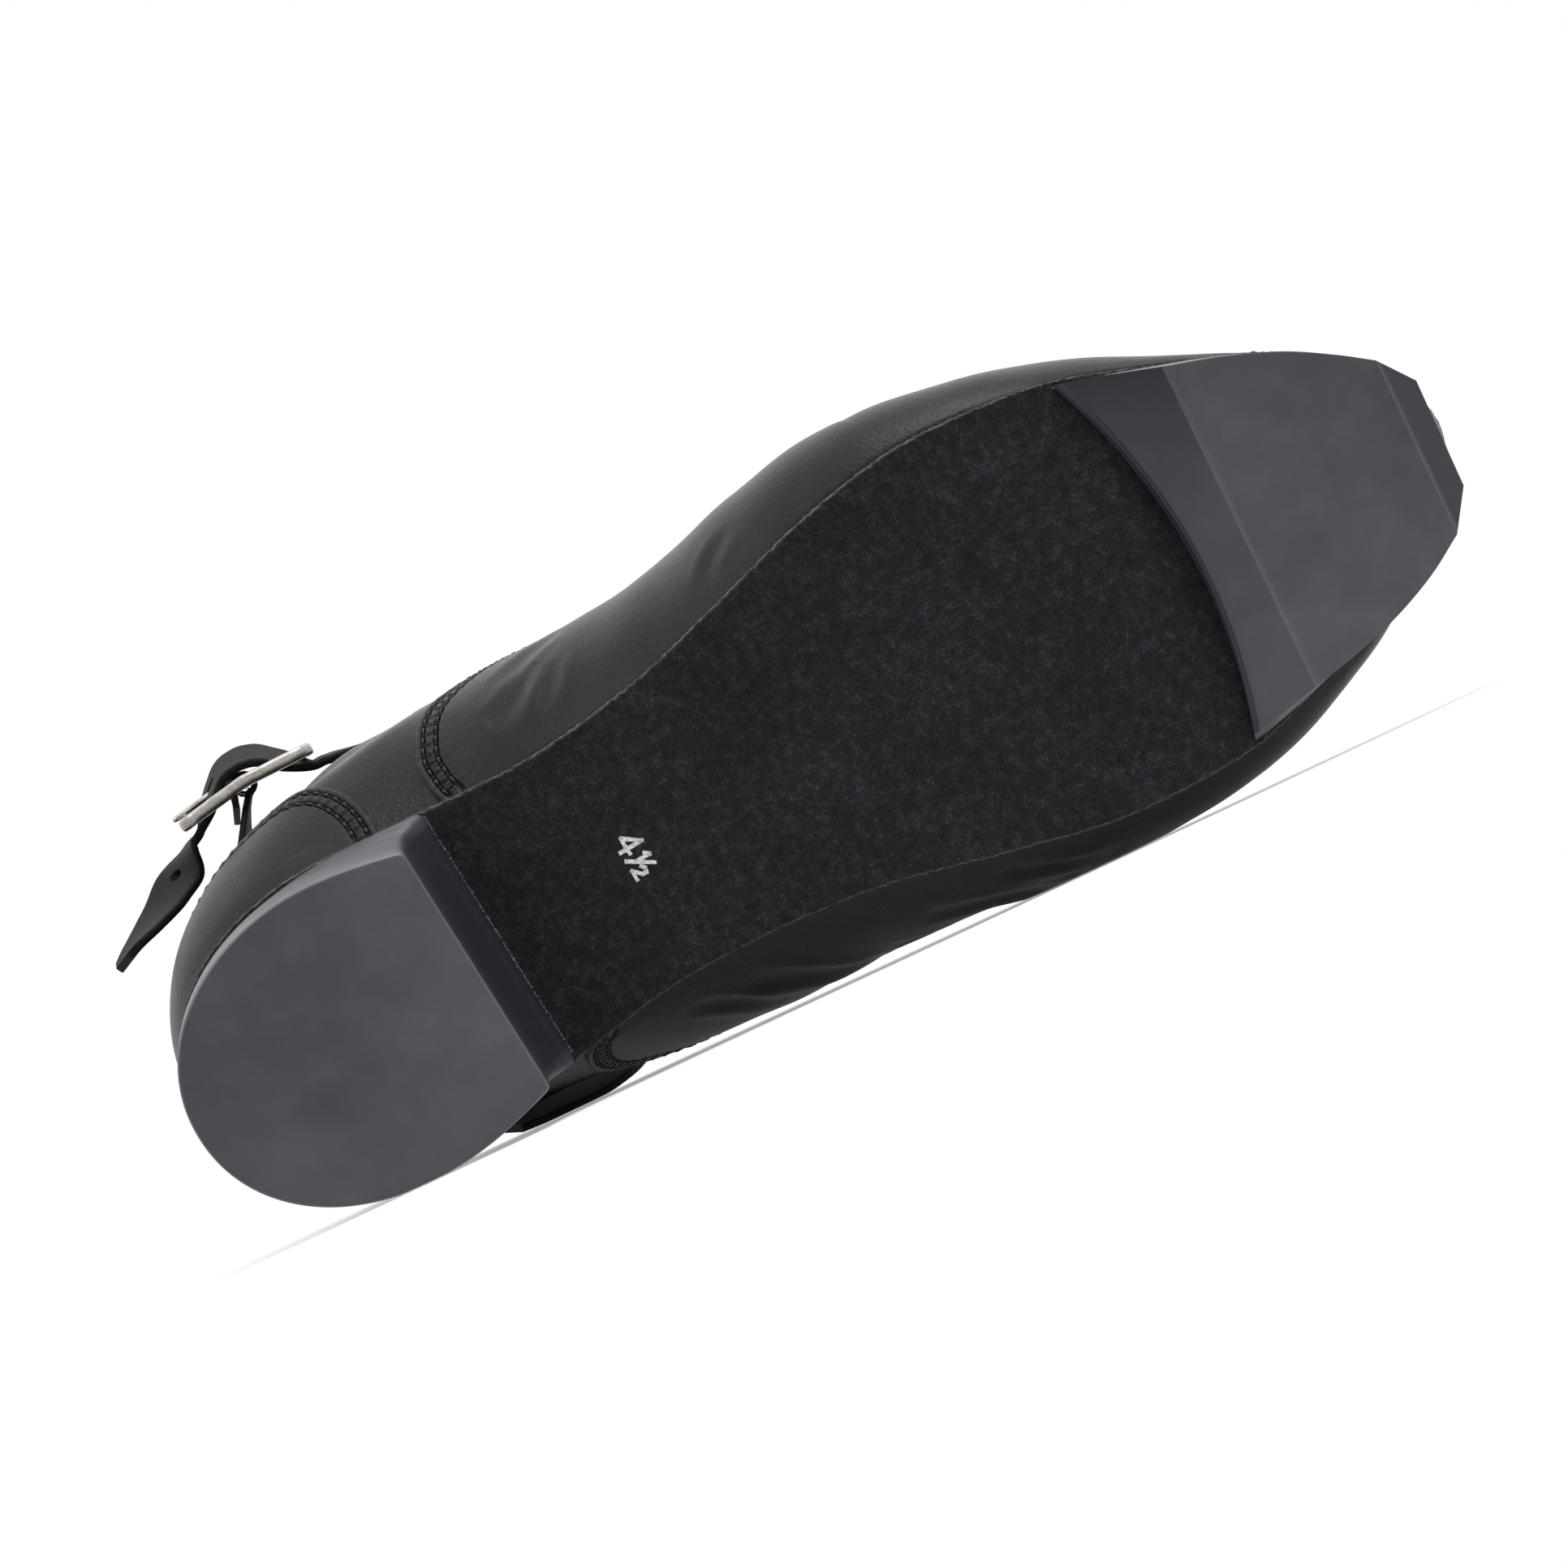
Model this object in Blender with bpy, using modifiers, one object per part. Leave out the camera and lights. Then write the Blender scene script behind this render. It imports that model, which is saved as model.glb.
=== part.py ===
"""Irish hard shoe, right foot, lying on its medial side.

The shoe is modelled in its own frame, in millimetres: X from heel to toe, Y to
the medial side, Z from the striking faces up to the instep, with Z = 0 on the
flat facet of the toe tip. A parent empty then lays it down, in metres.
"""
import math

import bmesh
import bpy
import numpy as np
from mathutils import Matrix

for old in list(bpy.data.objects):
    bpy.data.objects.remove(old, do_unlink=True)

# ---------------------------------------------------------------- sizes, mm
MM = 0.001
GAP = 0.3              # clearance between neighbouring pieces
SOLE_T = 2.4           # suede outsole
INSOLE_T = 2.0         # insole board
WALL = 1.8             # leather wall of the upper
MARGIN = 6.5           # lasting margin turned in under the insole
HEEL_FACE_Z = -3.9     # striking face of the heel
HEEL_SEAT_Z = 25.9     # underside of the sole above the heel
TONGUE_T = 1.5
STRAP_W, STRAP_T = 14.0, 1.6
TAB_W, TAB_T = 11.2, 1.2
BAR_R = 1.0            # centre bar of the buckle
FRAME_L, FRAME_H, FRAME_W, FRAME_T = 28.6, 20.6, 2.5, 2.0
LACE_R = 1.25

# the resting attitude, on the medial side: turned about X, Y and Z, then shifted
LIE_DEG = (-82.1680, -7.0853, -0.0000)
LIE_SHIFT = (-119.8006, -52.6380, 22.7755)

# ------------------------------------------------------- sections of the last
# one row per section from heel back to toe: the sole's edge on the lateral side
# (xl, yl) and on the medial side (xm, ym)
EDGE_COLS = ("xl", "yl", "xm", "ym")
EDGE = (
    (-0.8, 0.0, -0.8, 0.0),       # heel back
    (3.6, -14.0, 3.6, 13.6),
    (15.0, -23.8, 15.0, 22.8),
    (33.0, -28.0, 33.0, 26.6),
    (57.0, -26.0, 57.0, 26.0),    # heel breast
    (80.0, -24.0, 80.0, 23.6),    # waist
    (101.0, -25.6, 101.0, 24.0),
    (121.5, -30.2, 121.5, 26.6),
    (142.0, -35.1, 142.0, 32.4),
    (160.0, -37.1, 160.0, 37.4),  # ball
    (176.0, -35.8, 176.0, 39.4),
    (191.0, -32.6, 190.0, 39.6),
    (208.0, -26.5, 205.0, 38.0),
    (225.0, -19.2, 221.0, 34.6),
    (239.0, -10.0, 236.0, 28.0),
    (246.6, 0.0, 245.4, 19.4),
    (249.2, 10.0, 249.2, 10.0),   # toe
)
# height of the sole's underside along the shoe
UNDER_COLS = ("x", "z")
UNDER = (
    (-30.0, 25.9), (30.0, 25.9), (60.0, 25.9), (70.0, 25.3), (80.0, 23.8), (90.0, 21.2),
    (101.0, 17.6), (111.0, 13.6), (121.5, 9.8), (132.0, 6.9), (142.0, 5.0),
    (160.0, 3.5), (174.0, 3.0), (184.0, 3.0), (191.0, 3.8), (200.0, 6.2),
    (210.0, 9.3), (220.0, 12.2), (230.0, 14.6), (240.0, 16.4), (250.0, 17.6), (270.0, 19.0),
)
# top edge or ridge of the upper at the same sections, and how each side swells:
# tx, tz where the section ends; tl, tm its lateral and medial y; then, for the
# lateral and the medial side, out and up of the lower handle and of the top one
TOP_COLS = ("tx", "tz", "tl", "tm", "ol", "hl", "pl", "ql", "om", "hm", "pm", "qm")
TOP = (
    (2.8, 91.0, 0.0, 0.0, 1.5, 18.0, 1.4, 26.0, 1.5, 18.0, 1.4, 26.0),
    (6.4, 90.0, -11.0, 11.0, 6.5, 18.0, 3.0, 26.0, 0.4, 18.0, 1.2, 26.0),
    (15.2, 87.0, -20.2, 21.2, 11.5, 18.0, 6.0, 24.0, 0.6, 18.3, 1.9, 24.0),
    (32.0, 82.0, -27.8, 29.6, 17.0, 18.2, 8.5, 22.0, 2.0, 19.0, 4.0, 22.0),
    (54.0, 81.0, -31.5, 33.6, 23.0, 18.3, 11.0, 20.0, 6.0, 20.5, 5.4, 20.0),
    (76.0, 87.0, -24.8, 29.2, 25.5, 18.1, 16.0, 14.0, 18.5, 21.5, 16.0, 14.0),
    (95.0, 94.2, -9.9, 13.5, 25.0, 19.9, 29.0, 4.0, 29.5, 23.0, 29.0, 4.0),
    (113.0, 86.5, -6.5, 7.5, 21.5, 18.9, 30.0, 3.0, 29.0, 23.4, 31.0, 3.0),
    (131.0, 75.2, -5.5, 5.5, 22.2, 17.4, 31.0, 2.0, 23.5, 22.0, 33.0, 2.0),
    (149.0, 64.0, 0.0, 0.0, 22.2, 16.2, 32.0, 0.0, 23.5, 18.6, 35.5, 0.0),
    (167.0, 55.4, 1.5, 1.5, 18.2, 15.2, 30.0, 0.0, 21.5, 14.4, 32.5, 0.0),
    (183.0, 50.1, 3.5, 3.5, 12.7, 14.2, 28.0, 0.0, 19.7, 12.4, 29.5, 0.0),
    (198.0, 46.8, 5.5, 5.5, 6.8, 12.6, 25.8, 0.0, 16.5, 11.1, 26.8, 0.0),
    (213.0, 44.4, 7.5, 7.5, 1.6, 10.6, 22.2, 0.0, 12.5, 10.2, 22.5, 0.0),
    (226.0, 42.1, 9.0, 9.0, 0.4, 9.4, 16.0, 0.0, 7.5, 9.4, 16.3, 0.0),
    (233.0, 40.0, 10.0, 10.0, 0.6, 9.0, 11.0, 0.0, 3.5, 9.0, 11.0, 0.0),
    (236.0, 39.0, 10.5, 10.5, 1.0, 8.8, 9.3, 0.0, 1.0, 8.8, 9.3, 0.0),
)
LAST = len(EDGE) - 1
THROAT = 9             # the section where the two sides meet


def between(table, cols, col, s):
    """Catmull-Rom value of a column at row position s."""
    k = cols.index(col)
    n = len(table) - 1
    s = min(max(s, 0.0), float(n))
    i = min(int(s), n - 1)
    t = s - i
    p1, p2 = table[i][k], table[i + 1][k]
    p0 = table[i - 1][k] if i > 0 else 2 * p1 - p2
    p3 = table[i + 2][k] if i + 2 <= n else 2 * p2 - p1
    m1, m2 = (p2 - p0) / 2, (p3 - p1) / 2
    return (
        (2 * t**3 - 3 * t**2 + 1) * p1 + (t**3 - 2 * t**2 + t) * m1
        + (-2 * t**3 + 3 * t**2) * p2 + (t**3 - t**2) * m2
    )


def under(x):
    """Height of the sole's underside at x, cubic through the rows of UNDER."""
    rows = UNDER
    x = min(max(x, rows[0][0]), rows[-1][0] - 1e-6)
    i = max(j for j in range(len(rows) - 1) if rows[j][0] <= x)
    slope = [(rows[j + 1][1] - rows[j][1]) / (rows[j + 1][0] - rows[j][0]) for j in range(len(rows) - 1)]

    def tangent(j):
        if j == 0 or j == len(rows) - 1 or slope[j - 1] * slope[j] <= 0:
            return 0.0
        return 2 * slope[j - 1] * slope[j] / (slope[j - 1] + slope[j])

    h = rows[i + 1][0] - rows[i][0]
    t = (x - rows[i][0]) / h
    return (
        (2 * t**3 - 3 * t**2 + 1) * rows[i][1] + (t**3 - 2 * t**2 + t) * h * tangent(i)
        + (-2 * t**3 + 3 * t**2) * rows[i + 1][1] + (t**3 - t**2) * h * tangent(i + 1)
    )


def edge(s, side):
    """Point of the sole's edge and its outward direction, side -1 lateral, +1 medial.

    The table is mirrored past its ends, so that the curve runs on round heel and toe."""
    names = ("xl", "yl") if side < 0 else ("xm", "ym")
    other = ("xm", "ym") if side < 0 else ("xl", "yl")
    kx, ky = (EDGE_COLS.index(c) for c in names)
    ox, oy = (EDGE_COLS.index(c) for c in other)

    def row(i):
        if i < 0:
            return EDGE[-i][ox], EDGE[-i][oy]
        if i > LAST:
            return EDGE[2 * LAST - i][ox], EDGE[2 * LAST - i][oy]
        return EDGE[i][kx], EDGE[i][ky]

    i = min(int(s), LAST - 1)
    t = s - i
    q = [np.array(row(i + d)) for d in (-1, 0, 1, 2)]
    m1, m2 = (q[2] - q[0]) / 2, (q[3] - q[1]) / 2
    p = (
        (2 * t**3 - 3 * t**2 + 1) * q[1] + (t**3 - 2 * t**2 + t) * m1
        + (-2 * t**3 + 3 * t**2) * q[2] + (t**3 - t**2) * m2
    )
    d = (
        (6 * t**2 - 6 * t) * q[1] + (3 * t**2 - 4 * t + 1) * m1
        + (-6 * t**2 + 6 * t) * q[2] + (3 * t**2 - 2 * t) * m2
    )
    d = d / np.linalg.norm(d)
    return p, np.array((d[1], -d[0])) * (1 if side < 0 else -1)


def top(s, side, rounded_end=True):
    c = "tl" if side < 0 else "tm"
    y = between(TOP, TOP_COLS, c, s)
    if not rounded_end:
        pass
    elif s >= THROAT:
        y = (between(TOP, TOP_COLS, "tl", s) + between(TOP, TOP_COLS, "tm", s)) / 2
    elif s > THROAT - 1:  # the throat's round end
        t = s - (THROAT - 1)
        y = TOP[THROAT - 1][TOP_COLS.index(c)] * math.sqrt(max(0.0, 1 - t**2.6))
    if s == 0:
        y = 0.0
    return np.array((between(TOP, TOP_COLS, "tx", s), y, between(TOP, TOP_COLS, "tz", s)))


def wall(s, side, v, rounded_end=True):
    """Outer surface of the upper at section s and height share v."""
    p, n = edge(s, side)
    keys = ("ol", "hl", "pl", "ql") if side < 0 else ("om", "hm", "pm", "qm")
    o, h, p2, q2 = (between(TOP, TOP_COLS, k, s) for k in keys)
    foot = p - 0.4 * n
    z0 = under(foot[0]) + SOLE_T + GAP
    a = np.array((foot[0], foot[1], z0))
    d = top(s, side, rounded_end)
    out = np.array((n[0], n[1], 0.0))
    b = a + out * o + np.array((0, 0, h))
    c = d + out * p2 - np.array((0, 0, q2))
    return (1 - v) ** 3 * a + 3 * v * (1 - v) ** 2 * b + 3 * v * v * (1 - v) * c + v**3 * d


def skin(s, side, v, out):
    """Point of the upper's outer surface, moved outwards by out, or inwards if negative."""
    q = wall(s, side, v)
    e = 0.02
    ds = wall(min(s + e, LAST), side, v, False) - wall(max(s - e, 0.0), side, v, False)
    dv = wall(s, side, min(v + e, 1.0), False) - wall(s, side, max(v - e, 0.0), False)
    n = np.cross(ds, dv) * side
    n = n / np.linalg.norm(n)
    low = edge(s, side)[1]
    if n[0] * low[0] + n[1] * low[1] + n[2] * 0.6 < 0:
        n = -n
    return q + n * out


def smooth_path(rows, per):
    """Catmull-Rom rows through the given ones, per steps to each span."""
    rows = [np.array(r, float) for r in rows]
    out = []
    for i in range(len(rows) - 1):
        q = [rows[max(i - 1, 0)], rows[i], rows[i + 1], rows[min(i + 2, len(rows) - 1)]]
        m1, m2 = (q[2] - q[0]) / 2, (q[3] - q[1]) / 2
        for k in range(per):
            t = k / per
            out.append(
                (2 * t**3 - 3 * t**2 + 1) * q[1] + (t**3 - 2 * t**2 + t) * m1
                + (-2 * t**3 + 3 * t**2) * q[2] + (t**3 - t**2) * m2
            )
    return out + [rows[-1]]


# ----------------------------------------------------------------- materials
def material(name, rgb, roughness, metallic=0.0):
    m = bpy.data.materials.new(name)
    m.use_nodes = True
    b = m.node_tree.nodes["Principled BSDF"]
    b.inputs["Base Color"].default_value = (*rgb, 1)
    b.inputs["Roughness"].default_value = roughness
    b.inputs["Metallic"].default_value = metallic
    return m


LEATHER = material("black_leather", (0.012, 0.012, 0.013), 0.42)
SUEDE = material("black_suede", (0.008, 0.008, 0.009), 0.95)
FIBRE = material("black_fibreglass", (0.03, 0.033, 0.038), 0.38)
BOARD = material("insole_leather", (0.05, 0.045, 0.04), 0.7)
NICKEL = material("antique_nickel", (0.42, 0.40, 0.37), 0.35, 1.0)
CORD = material("black_cord", (0.012, 0.012, 0.012), 0.8)

parts = bpy.data.collections.new("irish_hard_shoe")
cutters = bpy.data.collections.new("cutters")
bpy.context.scene.collection.children.link(parts)
bpy.context.scene.collection.children.link(cutters)

rest = bpy.data.objects.new("resting_attitude", None)
parts.objects.link(rest)
rest.rotation_mode = "XYZ"
rest.rotation_euler = [math.radians(a) for a in LIE_DEG]
rest.location = [c * MM for c in LIE_SHIFT]


def add(name, verts, faces, mat, smooth=35.0, cutter=False):
    me = bpy.data.meshes.new(name)
    me.from_pydata([tuple(float(c) * MM for c in v) for v in verts], [], faces)
    bm = bmesh.new()
    bm.from_mesh(me)
    bmesh.ops.remove_doubles(bm, verts=bm.verts, dist=1e-6)
    bmesh.ops.recalc_face_normals(bm, faces=bm.faces)
    bm.to_mesh(me)
    bm.free()
    ob = bpy.data.objects.new(name, me)
    (cutters if cutter else parts).objects.link(ob)
    ob.parent = rest
    if mat:
        me.materials.append(mat)
    if cutter:
        ob.hide_render = True
        ob.display_type = "WIRE"
    else:
        me.shade_smooth()
        me.set_sharp_from_angle(angle=math.radians(smooth))
    return ob


def loft(name, rings, mat, **kw):
    """A closed solid through rings of equal length, with both ends filled."""
    n = len(rings[0])
    verts = [p for ring in rings for p in ring]
    faces = []
    for i in range(len(rings) - 1):
        for j in range(n):
            k = (j + 1) % n
            faces.append((i * n + j, i * n + k, (i + 1) * n + k, (i + 1) * n + j))
    faces.append(tuple(range(n))[::-1])
    faces.append(tuple((len(rings) - 1) * n + j for j in range(n)))
    return add(name, verts, faces, mat, **kw)


def cut(ob, cutter, operation="DIFFERENCE"):
    m = ob.modifiers.new(cutter.name, "BOOLEAN")
    m.operation = operation
    m.object = cutter
    m.solver = "EXACT"


# ------------------------------------------------------------- outsole, insole
def plate(name, mat, inset, low, high, steps, across):
    """A plate that follows the sole's underside, between two heights above it."""
    rings = []
    for i in range(1, steps):
        s = LAST * i / steps
        (pl, nl), (pm, nm) = edge(s, -1), edge(s, 1)
        a, b = pl - nl * inset, pm - nm * inset
        line = [a + (b - a) * j / across for j in range(across + 1)]
        ring = [(q[0], q[1], under(q[0]) + low) for q in line]
        ring += [(q[0], q[1], under(q[0]) + high) for q in reversed(line)]
        rings.append(ring)
    # each end closes on a short edge across the centre line
    for at, place in ((0, 0), (LAST, len(rings))):
        p, n = edge(at, -1)
        tip = p - n * inset
        near = rings[0] if at == 0 else rings[-1]
        half = 0.06 * (near[across][1] - near[0][1])
        cy = tip[1]
        line = [np.array((tip[0], cy + half * (2 * j / across - 1))) for j in range(across + 1)]
        ring = [(q[0], q[1], under(q[0]) + low) for q in line]
        ring += [(q[0], q[1], under(q[0]) + high) for q in reversed(line)]
        rings.insert(place if at == 0 else len(rings), ring)
    return loft(name, rings, mat)


STEPS = 56
plate("outsole", SUEDE, 0.0, 0.0, SOLE_T, STEPS, 3)
plate("insole", BOARD, 3.2, SOLE_T + GAP + WALL + GAP, SOLE_T + 2 * GAP + WALL + INSOLE_T, 40, 3)


# ---------------------------------------------------------------------- upper
def upper(cols_per_row=3, rows=10):
    """The open outer skin, from the lasting margin up to the top edge and the ridge."""
    stations = [i / cols_per_row for i in range(LAST * cols_per_row + 1)]
    loop = [(s, -1) for s in stations] + [(s, 1) for s in reversed(stations[1:-1])]
    levels = [i / rows for i in range(rows + 1)]
    verts, columns = [], []
    ridge = {}
    for s, side in loop:
        p, n = edge(s, side)
        col = []
        inner = p - (MARGIN + 0.4) * n
        turn = p - 1.3 * n
        for q, lift in ((inner, 0.0), (turn, 0.0)):
            verts.append((q[0], q[1], under(q[0]) + SOLE_T + GAP + lift))
            col.append(len(verts) - 1)
        for v in levels:
            q = wall(s, side, v)
            if v == 0.0:
                q = q + np.array((0, 0, 0.7))
            if v == 1.0 and s >= THROAT:
                if s not in ridge:
                    verts.append(tuple(q))
                    ridge[s] = len(verts) - 1
                col.append(ridge[s])
                continue
            verts.append(tuple(q))
            col.append(len(verts) - 1)
        columns.append(col)
    faces = []
    n = len(columns)
    for i in range(n):
        a, b = columns[i], columns[(i + 1) % n]
        for j in range(len(a) - 1):
            f = [a[j], b[j], b[j + 1], a[j + 1]]
            f = [k for m, k in enumerate(f) if k not in f[:m]]
            if len(f) > 2:
                faces.append(tuple(f))
    ob = add("upper", verts, faces, LEATHER, smooth=60)
    # the margin at the bottom has to face down
    me = ob.data
    low = min(me.polygons, key=lambda f: abs(f.center.x - 0.03) + f.center.z)
    if low.normal.z > 0:
        me.flip_normals()
    solid = ob.modifiers.new("wall", "SOLIDIFY")
    solid.thickness = WALL * MM
    solid.offset = -1
    solid.use_even_offset = True
    solid.thickness_clamp = 0
    return ob


upper()


# ----------------------------------------------------------------------- heel
HEEL_COLS = ("z", "breast", "half_breast", "half_wide", "back", "round")
HEEL = (
    (HEEL_FACE_Z, 53.8, 23.2, 26.6, 0.6, 2.08),
    (HEEL_FACE_Z + 0.6, 54.4, 23.6, 27.0, 0.2, 2.08),
    (4.0, 54.5, 23.9, 27.1, 0.0, 2.1),
    (12.0, 54.8, 24.4, 27.2, -0.2, 2.1),
    (18.0, 55.8, 25.0, 27.2, -0.4, 2.1),
    (22.5, 58.0, 25.5, 27.2, -0.5, 2.1),
    (HEEL_SEAT_Z - GAP - 0.8, 59.6, 25.8, 27.2, -0.5, 2.1),
    (HEEL_SEAT_Z - GAP, 59.8, 25.8, 27.2, -0.5, 2.1),
)


def heel_ring(row, steps=30):
    z, breast, half, wide, back, n = row
    straight = 20.5
    centre = breast - straight
    reach = centre - back
    ring = [(breast, y * half, z) for y in (-1.0, -0.5, 0.0, 0.5, 1.0)]
    for k in range(4):  # the side, widening towards the back
        t = (k + 1) / 5
        ring.append((breast - straight * t, 0.4 * t * -1 + half + (wide - half) * math.sin(t * math.pi / 2), z))
    for i in range(steps + 1):
        a = math.pi / 2 - math.pi * i / steps
        y = wide * math.copysign(abs(math.sin(a)) ** (2 / n), math.sin(a))
        ring.append((centre - reach * abs(math.cos(a)) ** (2 / n), y - 0.4, z))
    for k in range(4):
        t = 1 - (k + 1) / 5
        ring.append((breast - straight * t, -0.4 * t - half - (wide - half) * math.sin(t * math.pi / 2), z))
    return ring


loft("heel", [heel_ring(r) for r in HEEL], FIBRE, smooth=30)

# -------------------------------------------------------------------- toe tip
# one row per section: lateral and medial corner of the lower face, its height,
# then the flare of the side wall up to the sole, and the bow of a curved section
TIP_COLS = ("xl", "yl", "xm", "ym", "zl", "zm", "flare", "bow")
TIP = (
    (190.2, -31.9, 188.6, 37.2, 1.6, 1.4, 0.5, 6.5),   # rear lip
    (195.0, -30.3, 192.5, 36.9, 1.25, 1.1, 0.9, 4.2),
    (201.0, -27.8, 197.0, 36.4, 0.65, 0.55, 1.6, 1.9),
    (207.4, -25.1, 201.8, 35.8, 0.0, 0.0, 2.2, 0.0),   # ramp line
    (217.0, -21.3, 210.5, 34.8, 0.0, 0.0, 2.6, 0.0),
    (226.5, -16.5, 220.0, 33.0, 0.0, 0.0, 2.8, 0.0),
    (234.0, -11.3, 229.0, 30.1, 0.0, 0.0, 2.8, 0.0),
    (239.8, -6.6, 236.6, 26.4, 0.0, 0.0, 2.7, 0.0),    # front line
    (246.0, 0.8, 243.8, 20.8, 7.4, 7.4, 2.2, 0.0),     # bevel's edge
)
RIM_INSET = 1.1


def rim(low, side, flare):
    """Where the side wall that starts at low meets the sole, as the sole edge's section."""
    best = None
    for k in range(551):
        at = LAST - 5.5 + 0.01 * k
        p, n = edge(min(at, LAST - 1e-6), side)
        q = p - n * RIM_INSET
        d = np.linalg.norm(q - np.array(low) - n * flare)
        if best is None or d < best[0]:
            best = (d, at, q)
    return best[1], best[2]


def toe_tip(across=8):
    rings = []
    for xl, yl, xm, ym, zl, zm, flare, bow in TIP:
        last_row = xl > 245
        sl, pl = rim((xl, yl), -1, flare)
        sm, pm = rim((xm, ym), 1, flare)
        low, high = [], []
        for j in range(across + 1):
            t = j / across
            curve = bow * (1 - (2 * t - 1) ** 2)
            low.append((xl + (xm - xl) * t + curve, yl + (ym - yl) * t, zl + (zm - zl) * t))
            if last_row:  # the rim runs on round the toe
                way = (LAST - sl) + (LAST - sm)
                d = way * t
                at, side = (sl + d, -1) if d <= LAST - sl else (sm + way - d, 1)
                p, n = edge(min(at, LAST - 1e-6), side)
                q = p - n * RIM_INSET
            else:
                q = pl + (pm - pl) * t + np.array((curve, 0.0))
            high.append((q[0], q[1], under(q[0]) - GAP))
        rings.append(low + high[::-1])
    n = len(rings[0])
    verts = [p for ring in rings for p in ring]
    faces = []
    for i in range(len(rings) - 1):
        for j in range(n):
            k = (j + 1) % n
            faces.append((i * n + j, i * n + k, (i + 1) * n + k, (i + 1) * n + j))
    for at, ring in ((0, 0), (len(rings) - 1, 1)):
        for j in range(across):
            f = (at * n + j, at * n + j + 1, at * n + n - 2 - j, at * n + n - 1 - j)
            faces.append(f if ring else f[::-1])
    return add("toe_tip", verts, faces, FIBRE, smooth=12)


toe_tip()


# ---------------------------------------------------------------------- tongue
# outline of the tongue above the facings: shift along X and Z, share of the width
TONGUE_COLS = ("dx", "dz", "share")
TONGUE_TOP = ((-5.8, 3.2, 0.60), (-10.0, 8.6, 0.58), (-13.0, 14.6, 0.58), (-15.0, 20.0, 0.54), (-15.8, 22.4, 0.4))
TONGUE_AT = (6.15, 6.5, 6.9, 7.3, 7.7, 8.1, 8.5, 8.8, 9.1, 9.5)
TONGUE_V = (0.84, 0.885, 0.93, 0.97)


def tongue():
    deep = WALL + 1.3

    def row(s, out):
        line = [skin(s, -1, v, -out) for v in TONGUE_V]
        back = [skin(s, 1, v, -out) for v in reversed(TONGUE_V)]
        mid = (line[-1] + back[0]) / 2
        return line + [mid] + back

    rings = []
    outer, inner = row(TONGUE_AT[0], deep), row(TONGUE_AT[0], deep + TONGUE_T)
    cy = outer[len(TONGUE_V)][1]
    for dx, dz, share in reversed(TONGUE_TOP):
        # the free part flattens and turns upright as it rises
        lean = min(1.0, dz / 14.0)
        a, b = [], []
        for p, q in zip(outer, inner):
            y = cy + (p[1] - cy) * share
            z = p[2] + (outer[len(TONGUE_V)][2] - p[2]) * 0.35 * lean + dz
            x = p[0] + dx - abs(p[1] - cy) * 0.16 * lean
            a.append(np.array((x, y, z)))
            d = np.array((-0.30 - 0.55 * lean, 0.0, -1.0 + 0.45 * lean))
            b.append(np.array((x, cy + (q[1] - cy) * share, z)) + d / np.linalg.norm(d) * TONGUE_T)
        rings.append(a + b[::-1])
    for s in TONGUE_AT:
        rings.append(row(s, deep) + row(s, deep + TONGUE_T)[::-1])
    return loft("tongue", rings, LEATHER)


tongue()


# ---------------------------------------------------------------------- lacing
def tube(name, points, radius, mat, round_by=2):
    """A round bar along points: a curve with a bevel and filled caps, as a welded mesh."""
    data = bpy.data.curves.new(name, "CURVE")
    data.dimensions = "3D"
    data.bevel_depth = radius * MM
    data.bevel_resolution = round_by
    data.use_fill_caps = True
    spline = data.splines.new("POLY")
    spline.points.add(len(points) - 1)
    for k, p in enumerate(points):
        spline.points[k].co = (*[float(c) * MM for c in p], 1.0)
    wire = bpy.data.objects.new(name + "_curve", data)
    parts.objects.link(wire)
    bpy.context.view_layer.update()
    me = bpy.data.meshes.new_from_object(wire.evaluated_get(bpy.context.evaluated_depsgraph_get()))
    bpy.data.objects.remove(wire, do_unlink=True)
    bm = bmesh.new()
    bm.from_mesh(me)
    bmesh.ops.remove_doubles(bm, verts=bm.verts, dist=1e-6)
    bmesh.ops.recalc_face_normals(bm, faces=bm.faces)
    bm.to_mesh(me)
    bm.free()
    me.name = name
    me.materials.clear()
    ob = bpy.data.objects.new(name, me)
    (parts if mat else cutters).objects.link(ob)
    ob.parent = rest
    if mat:
        me.materials.append(mat)
        me.shade_smooth()
        me.set_sharp_from_angle(angle=math.radians(60))
    else:
        ob.hide_render = True
        ob.display_type = "WIRE"
    return ob


LACE_AT = (6.28, 6.84, 7.4, 7.94, 8.46)
for k, at in enumerate(LACE_AT):
    lift = LACE_R + 0.45
    near, far = 0.985, 0.915
    pts = [skin(at, -1, far, lift), skin(at, -1, 0.95, lift), skin(at, -1, near, lift)]
    end = [skin(at, 1, near, lift), skin(at, 1, 0.95, lift), skin(at, 1, far, lift)]
    pts = pts + [(pts[-1] + end[0]) / 2 + np.array((0.0, 0.0, 0.3))] + end
    tube("lace_bar_%d" % (k + 1), pts, LACE_R, CORD)


# ------------------------------------------------------------ strap and buckle
# buckle plane: u along the strap, forward; w outwards; h along the bar
BUCKLE = np.array((33.6, -44.4, 84.0))
B_U = np.array((1.0, 0.0, 0.0))
B_H = np.array((-0.05, 0.03, 1.0)) / np.linalg.norm((-0.05, 0.03, 1.0))
B_W = np.cross(B_U, B_H) / np.linalg.norm(np.cross(B_U, B_H))
B_U = np.cross(B_H, B_W)


def buckle(u, w, h=0.0):
    return BUCKLE + B_U * u + B_W * w + B_H * h


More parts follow.
